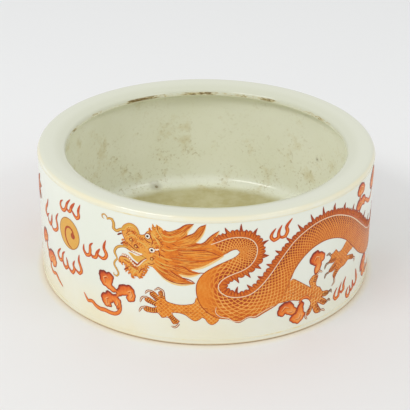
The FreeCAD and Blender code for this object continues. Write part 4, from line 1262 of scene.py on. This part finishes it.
def paint_mane():
    painting = Painting()
    for edge in FADED_EDGES:
        painting.stroke(edge, 1.7, "line", 0.04, ends=(0.5, 0.2), rise=-0.06)
    painting.wash(MANE, "wash", mane_tone, lift=WASH_LIFT + 0.03)
    chance = random.Random(7)
    for number, (upper, lower) in enumerate(LOCKS):
        painting.wash(upper + lower[::-1][1:], "wash", lock_tone, guide=flowing(upper, 1.0),
                      lift=WASH_LIFT + 0.035 + 0.003 * number)
        for hair in range(HAIRS):
            share = (hair + chance.uniform(0.1, 0.9)) / HAIRS
            line = flowing(between(upper, lower, share), 0.8)
            first = chance.randrange(len(line) * 2 // 3)
            last = min(len(line), first + chance.randrange(5, 16))
            dark = hair % 3 != 1
            painting.stroke([tuple(point) for point in line[first:last]], 0.28 if dark else 0.45, "line",
                            chance.uniform(0.60, 0.76) if dark else 0.22, ends=(0.4, 0.1), step=1.0,
                            rise=0.03 if dark else 0.02)
    for edge in LOCK_EDGES:
        painting.stroke(edge, 0.7, "line", 0.80, ends=(0.1, 0.4))
    for dash in DASHES:
        painting.stroke(dash, 0.5, "line", 0.84)
    for lock in GOLDEN_LOCKS:
        painting.stroke(lock, 0.7, "ochre", 0.4, ends=(0.3, 0.1), rise=0.03)
    painting.finish("dragon_mane")


SKULL = [
    (-46.4, 66.0), (-45.4, 62.6), (-44.2, 60.0), (-46.2, 58.2), (-44.8, 56.6), (-41.0, 54.8),
    (-36.0, 53.6), (-32.2, 52.4), (-35.2, 50.2), (-37.4, 47.4), (-39.8, 48.9), (-43.0, 50.4),
    (-47.4, 50.2), (-48.8, 48.2), (-47.4, 46.2), (-44.6, 46.6), (-43.2, 43.4), (-41.8, 41.6),
    (-40.6, 38.4), (-38.8, 40.4), (-37.6, 40.0), (-36.0, 38.4), (-34.4, 42.2), (-33.4, 46.0),
    (-31.0, 47.9), (-27.9, 47.3), (-24.0, 54.0), (-21.5, 60.0), (-20.7, 66.0), (-22.6, 71.3),
    (-26.3, 73.9), (-27.6, 70.4), (-29.8, 69.8), (-31.8, 68.4), (-33.6, 66.2), (-36.2, 66.3),
    (-37.0, 69.3), (-40.0, 71.1), (-44.0, 69.6),
]
SNOUT_ARCH = [(-46.4, 66.4), (-44.8, 69.0), (-41.6, 70.9), (-38.8, 70.2), (-37.0, 68.0), (-36.4, 65.8)]
TONGUE = [
    (-42.8, 53.9), (-40.4, 53.7), (-38.4, 52.7), (-36.2, 53.0), (-33.0, 54.0), (-32.2, 52.6),
    (-34.2, 50.6), (-36.4, 48.8), (-38.8, 49.8), (-40.8, 51.6),
]
PALATE = [(-41.2, 55.4), (-37.4, 55.3), (-33.8, 54.8), (-35.4, 53.5), (-38.4, 53.4)]
TEETH = [
    (-46.0, 51.3), (-44.6, 51.4), (-43.2, 50.9), (-42.0, 50.0), (-41.0, 48.8), (-40.0, 47.6),
    (-39.0, 46.7),
]
HEAD_LINES = [
    [(-46.0, 66.0), (-44.4, 68.9), (-40.0, 70.8), (-37.4, 69.3), (-36.3, 66.4)],
    [(-43.8, 64.6), (-42.2, 66.8), (-39.6, 67.0), (-38.4, 65.0)],
    [(-42.4, 61.8), (-40.6, 63.2), (-39.4, 61.4), (-40.6, 60.2)],
    [(-39.4, 58.8), (-38.0, 59.8), (-36.8, 58.2), (-38.0, 57.2)],
    [(-44.2, 60.2), (-41.8, 58.4), (-38.4, 56.2), (-33.8, 54.4)],
    [(-30.2, 70.2), (-29.4, 66.0), (-28.4, 62.4), (-29.6, 60.2)],
    [(-33.4, 64.4), (-31.0, 62.6), (-28.6, 62.0)],
    [(-47.6, 50.2), (-43.0, 50.2), (-39.8, 48.6), (-37.4, 47.0), (-35.0, 49.8), (-32.0, 52.2)],
    [(-43.6, 43.6), (-41.2, 45.6), (-38.0, 44.8)], [(-36.6, 42.0), (-35.2, 44.6), (-33.0, 46.0)],
    [(-31.8, 50.0), (-29.6, 49.0), (-27.4, 50.0)], [(-25.8, 73.6), (-25.4, 70.0), (-23.4, 67.0)],
    [(-27.4, 66.4), (-24.4, 64.2), (-22.4, 60.8)], [(-27.0, 60.4), (-24.8, 57.2), (-24.6, 53.8)],
    [(-42.0, 47.4), (-39.8, 46.2), (-37.6, 45.6)], [(-45.6, 48.8), (-43.4, 47.8), (-41.4, 47.4)],
]
GOLD_LINES = [
    [(-45.0, 66.6), (-43.4, 69.0), (-40.2, 70.0), (-38.0, 68.8), (-37.2, 66.4)],
    [(-43.0, 63.2), (-40.0, 65.0), (-37.0, 63.8)], [(-37.4, 62.2), (-34.0, 61.0), (-31.4, 58.8)],
    [(-41.4, 57.0), (-37.6, 55.4), (-33.6, 54.8)], [(-46.8, 49.4), (-43.4, 49.0), (-40.4, 47.6)],
    [(-34.6, 47.6), (-32.4, 49.6), (-29.4, 50.8)], [(-26.6, 71.6), (-25.0, 68.6), (-22.8, 65.2)],
    [(-28.6, 68.0), (-26.4, 64.8), (-24.6, 61.4)], [(-42.6, 45.6), (-40.0, 44.4), (-37.6, 43.6)],
    [(-40.0, 40.8), (-38.8, 43.0), (-36.4, 43.6)],
]
FRILLS = [
    ([(-48.2, 47.2), (-44.8, 46.0), (-43.0, 42.6), (-41.4, 39.4)], 1.4, -1),
    ([(-40.6, 39.4), (-38.6, 40.6), (-36.4, 39.6)], 1.4, -1),
    ([(-35.4, 40.0), (-34.0, 43.4), (-32.8, 46.6), (-30.2, 47.8)], 1.4, -1),
    ([(-42.8, 47.6), (-40.4, 45.6), (-38.2, 43.8), (-35.8, 44.6)], 1.0, 1),
    ([(-29.6, 69.6), (-27.6, 70.6), (-26.4, 73.2)], 1.3, 1),
    ([(-43.0, 67.0), (-40.6, 67.4), (-38.6, 66.0), (-36.0, 64.0), (-33.2, 63.2)], 1.0, 1),
    ([(-46.2, 60.4), (-44.6, 58.4), (-42.4, 57.6)], 1.0, 1),
    ([(-42.6, 64.6), (-40.2, 62.4), (-37.4, 60.4), (-34.0, 59.0)], 0.9, 1),
    ([(-27.6, 64.4), (-25.8, 60.6), (-26.4, 56.2), (-28.0, 52.6)], 1.3, -1),
    ([(-24.8, 68.6), (-23.4, 64.0), (-22.6, 59.6)], 1.3, -1),
]
HEAD_TICKS = 420
TICK_RANGE = ((-45.6, -21.5), (42.5, 72.0))
EYES = [(-31.2, 66.0, 1.35, 1.5), (-28.8, 57.9, 1.6, 1.4)]
NOSTRILS_AND_WART = [(-29.0, 52.5), (-41.0, 61.9), (-38.2, 58.4)]
LOWER_LIP = [(-38.6, 46.2), (-37.4, 46.4), (-35.4, 48.4), (-33.6, 50.6), (-31.8, 52.0)]
EYE_CORNER = [(-27.4, 58.4), (-26.0, 58.6), (-24.8, 59.2)]
FANGS = [
    [(-46.6, 64.4), (-48.0, 63.8), (-49.4, 62.7)], [(-44.6, 59.6), (-46.0, 58.9), (-47.5, 57.7)],
    [(-43.4, 43.6), (-44.6, 43.0), (-45.6, 42.0)],
]


def paint_eye(painting, x, z, across, up):
    """A white eye in a brown ring with a black pupil."""
    painting.dot(x, z, across + 0.4, "line", 0.86, 0.02, flat=(up + 0.4) / (across + 0.4))
    painting.dot(x, z, across, "cream", 0.0, 0.10, flat=up / across)
    painting.dot(x - 0.1, z, 0.72, "black", 0.5, 0.20)


def frill(painting, line, size, side, chance):
    """A row of uneven curls that lean off a line, as beard and cheeks are ruffled."""
    points = flowing(line, size * 1.3)
    for index in range(len(points) - 1):
        way = (points[index + 1] - points[index]).normalized()
        out = Vector((-way.y, way.x)) * side
        reach = size * chance.uniform(0.7, 1.4)
        lean = way * reach * chance.uniform(0.1, 0.8)
        root = points[index] - out * size * 0.6
        curl = [root, root + out * reach - lean * 0.4, root + out * reach * 1.7 + lean]
        painting.stroke([tuple(point) for point in curl], size * 0.95, "line", chance.uniform(0.30, 0.48),
                        ends=(1.0, 0.02), step=0.5)
        edge = [point + way * size * 0.25 for point in curl]
        painting.stroke([tuple(point) for point in edge], 0.26, "line", 0.80, ends=(0.6, 0.1), step=0.5,
                        rise=0.03)


def paint_head():
    painting = Painting()
    rim = painting.wash(SKULL, "wash", 0.26, pitch=1.1, lift=WASH_LIFT + 0.01)
    painting.wash(PALATE, "cream", 0.1, pitch=0.8, lift=LINE_LIFT)
    painting.wash(TONGUE, "ochre", 0.45, pitch=0.8, lift=LINE_LIFT + 0.01)
    ends_at_mane = [index for index, point in enumerate(rim) if point.x > -28.5 and 46.8 < point.y < 71.0]
    shown = rim[ends_at_mane[-1] + 1:] + rim[:ends_at_mane[0]]
    painting.stroke([tuple(point) for point in shown[::2]], 0.42, "line", 0.74, ends=(0.5, 0.5))
    chance = random.Random(3)
    for line, size, side in FRILLS:
        frill(painting, line, size, side, chance)
    painting.stroke(SNOUT_ARCH, 2.1, "line", 0.66, ends=(0.7, 0.5), step=0.6)
    painting.stroke(SNOUT_ARCH, 1.6, "ochre", 0.55, ends=(0.7, 0.5), step=0.6, rise=0.03)
    for line in HEAD_LINES:
        painting.stroke(line, 0.55, "line", 0.82, ends=(0.4, 0.3), step=0.6)
    for line in GOLD_LINES:
        painting.stroke(line, 0.7, "ochre", 0.3, ends=(0.4, 0.3), step=0.6, rise=0.03)
    ticks = [(chance.uniform(*TICK_RANGE[0]), chance.uniform(*TICK_RANGE[1])) for _ in range(HEAD_TICKS)]
    gaps, _ = gap_to_line(ticks, rim, closed=True)
    for (x, z), kept, gap in zip(ticks, inside_outline(ticks, rim), gaps):
        if kept and gap > 0.7 and not (-40 < x < -30 and 49 < z < 55):
            turn = math.atan2(z - 57, x + 46) + chance.uniform(-0.7, 0.7)
            half = Vector((math.cos(turn), math.sin(turn))) * chance.uniform(0.35, 0.9)
            dark = chance.random() < 0.55
            tick = [(x - half.x, z - half.y), (x + half.x, z + half.y)]
            shade = chance.uniform(0.62, 0.86) if dark else 0.18
            painting.stroke(tick, 0.3 if dark else 0.5, "line", shade, ends=(0.3, 0.1), step=0.6, rise=-0.01)
    for fang in FANGS:
        painting.stroke(fang, 1.0, "line", 0.9, ends=(1.0, 0.05), step=0.5)
    for x, z in TEETH:
        painting.dot(x, z, 0.85, "line", 0.62, 0.02)
        painting.dot(x, z, 0.62, "cream", 0.6, 0.08)
    painting.stroke(LOWER_LIP, 0.6, "cream", 0.4, rise=0.07)
    for x, z in NOSTRILS_AND_WART:
        painting.dot(x, z, 1.1, "line", 0.86)
        painting.dot(x, z, 0.6, "ochre", 0.3, 0.06)
    for eye in EYES:
        paint_eye(painting, *eye)
    painting.stroke(EYE_CORNER, 0.9, "cream", 0.1, rise=0.08)
    painting.finish("dragon_head")


WHISKER_WIDTHS = (1.9, 0.8, 1.6, 1.2)
WHISKERS = [
    [(-44.6, 67.4), (-47.4, 66.6), (-49.8, 65.2), (-51.8, 66.2), (-51.6, 69.2), (-52.6, 71.4),
     (-54.6, 71.4), (-55.8, 70.4)],
    [(-55.6, 70.4), (-56.2, 72.2), (-57.6, 73.2), (-59.2, 72.4), (-59.0, 70.8), (-57.8, 70.3)],
    [(-42.8, 56.6), (-46.4, 56.6), (-49.8, 55.0), (-51.4, 51.8), (-50.2, 49.0), (-49.6, 47.2)],
    [(-49.4, 48.2), (-51.4, 45.8), (-51.8, 43.6), (-50.2, 41.0), (-49.2, 38.6), (-50.4, 36.7),
     (-52.2, 37.2), (-52.4, 38.6)],
]


def paint_whiskers():
    painting = Painting()
    for whisker, width in zip(WHISKERS, WHISKER_WIDTHS):
        painting.stroke(whisker, width, "ochre", 0.85, ends=(0.9, 0.25), step=0.6)
        painting.stroke(whisker, width * 0.5, "ochre", 0.4, ends=(0.9, 0.25), step=0.6, rise=0.04)
    painting.finish("dragon_whiskers")


def gild_lines():
    """The two gilt lines stay as the CAD has them, in worn gold."""
    gold = worn_gilding()
    for name in ("shoulder_gilt_line", "foot_gilt_line"):
        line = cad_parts[name]
        line.data.materials.clear()
        line.data.materials.append(gold)


# Studio

SOFTBOX_DISTANCE = 1.4

# Name, turn from the front and rise in degrees, width and depth in metres, power in watts
SOFTBOXES = [("left_softbox", -46, 46, 0.75, 0.28, 4.6), ("right_softbox", 56, 46, 0.6, 0.18, 1.5)]
WORLD_STRENGTH = 0.78
FLOOR_SIZE = 6.0
# The floor is painted lighter toward the back: painted light that lifts the floor where the vessel shades it
FLOOR_PAINTED_LIGHT_FRONT_TO_BACK = (-0.12, 0.24)
FLOOR_GREYS_PAINTED_LIGHTER_BEHIND = (srgb(233, 233, 232), srgb(242, 243, 243))
# A warm ring of painted bounce light from the vessel, on the floor close round the foot
FLOOR_PAINTED_BOUNCE_RADII = (0.105, 0.0995)
FLOOR_PAINTED_BOUNCE_TONE = srgb(238, 230, 212)


def stage():
    """A pale level floor with painted light on it, lighter toward the back and warm in a ring round the
    foot, soft light from left and right and a plain bright world.
    """
    deselect_everything()
    bpy.ops.mesh.primitive_plane_add(size=FLOOR_SIZE, location=(0, 0, 0))
    floor = bpy.context.object
    floor.name = "studio_floor"
    material, tree, shader = new_material("studio_floor")
    place = put(tree, "ShaderNodeTexCoord").outputs["Object"]
    behind = put(tree, "ShaderNodeSeparateXYZ", in_0=place).outputs[1]
    # painted light: the floor's grey grows lighter toward the back
    tone = blend_colour(tree, ramp_up(tree, behind, *FLOOR_PAINTED_LIGHT_FRONT_TO_BACK), *FLOOR_GREYS_PAINTED_LIGHTER_BEHIND)
    away = put(tree, "ShaderNodeVectorMath", operation="LENGTH", in_0=place).outputs["Value"]
    # painted warm bounce light in a ring round the foot
    tone = blend_colour(tree, ramp_up(tree, away, *FLOOR_PAINTED_BOUNCE_RADII), tone, FLOOR_PAINTED_BOUNCE_TONE)
    tree.links.new(tone, shader.inputs["Base Color"])
    shader.inputs["Roughness"].default_value = 0.9
    shader.inputs["Specular IOR Level"].default_value = 0.1
    floor.data.materials.append(material)

    world = bpy.data.worlds.new("studio")
    world.use_nodes = True
    background = world.node_tree.nodes["Background"]
    background.inputs["Color"].default_value = (1.0, 1.0, 1.0, 1.0)
    background.inputs["Strength"].default_value = WORLD_STRENGTH
    bpy.context.scene.world = world

    for name, turn, rise, width, depth, power in SOFTBOXES:
        light = bpy.data.lights.new(name, "AREA")
        light.shape = "RECTANGLE"
        light.size = width
        light.size_y = depth
        light.energy = power
        level = SOFTBOX_DISTANCE * math.cos(math.radians(rise))
        place = (level * math.sin(math.radians(turn)), -level * math.cos(math.radians(turn)),
                 SOFTBOX_DISTANCE * math.sin(math.radians(rise)))
        lamp = bpy.data.objects.new(name, light)
        lamp.location = place
        lamp.rotation_euler = (-Vector(place)).to_track_quat("-Z", "Y").to_euler()
        bpy.context.scene.collection.objects.link(lamp)


# The camera was fitted to the photograph's ellipses.
CAMERA_DISTANCE = 0.76094
CAMERA_RISE = math.radians(27.116)
CAMERA_ROLL = math.radians(0.702)
CAMERA_AIM = Vector((-0.000374, 0.0, 0.036296))
CAMERA_LENS = 109.24


def photograph_camera():
    data = bpy.data.cameras.new("photograph_camera")
    data.lens = CAMERA_LENS
    data.sensor_width = 36.0
    camera = bpy.data.objects.new("photograph_camera", data)
    toward = Vector((0.0, math.cos(CAMERA_RISE), -math.sin(CAMERA_RISE)))
    right = Vector((1.0, 0.0, 0.0))
    up = right.cross(toward)
    tilted_right = right * math.cos(CAMERA_ROLL) + up * math.sin(CAMERA_ROLL)
    tilted_up = up * math.cos(CAMERA_ROLL) - right * math.sin(CAMERA_ROLL)
    turn = Matrix((tilted_right, tilted_up, -toward)).transposed().to_4x4()
    camera.matrix_world = Matrix.Translation(CAMERA_AIM - toward * CAMERA_DISTANCE) @ turn
    bpy.context.scene.collection.objects.link(camera)
    bpy.context.scene.camera = camera


def main():
    photograph_camera()
    stage()
    vessel()
    gild_lines()
    paint_pearl()
    paint_flames("pearl_flames", PEARL_FLAMES)
    paint_flames("loose_flames", LOOSE_FLAMES)
    paint_clouds()
    paint_head()
    paint_whiskers()
    paint_mane()
    paint_body()
    paint_legs("dragon_forelegs", FORELEGS, FORELEG_REACH)
    paint_legs("dragon_hind_legs", HIND_LEGS, HIND_LEG_REACH)
    paint_tail()
    bpy.context.scene.view_settings.view_transform = "Standard"


main()
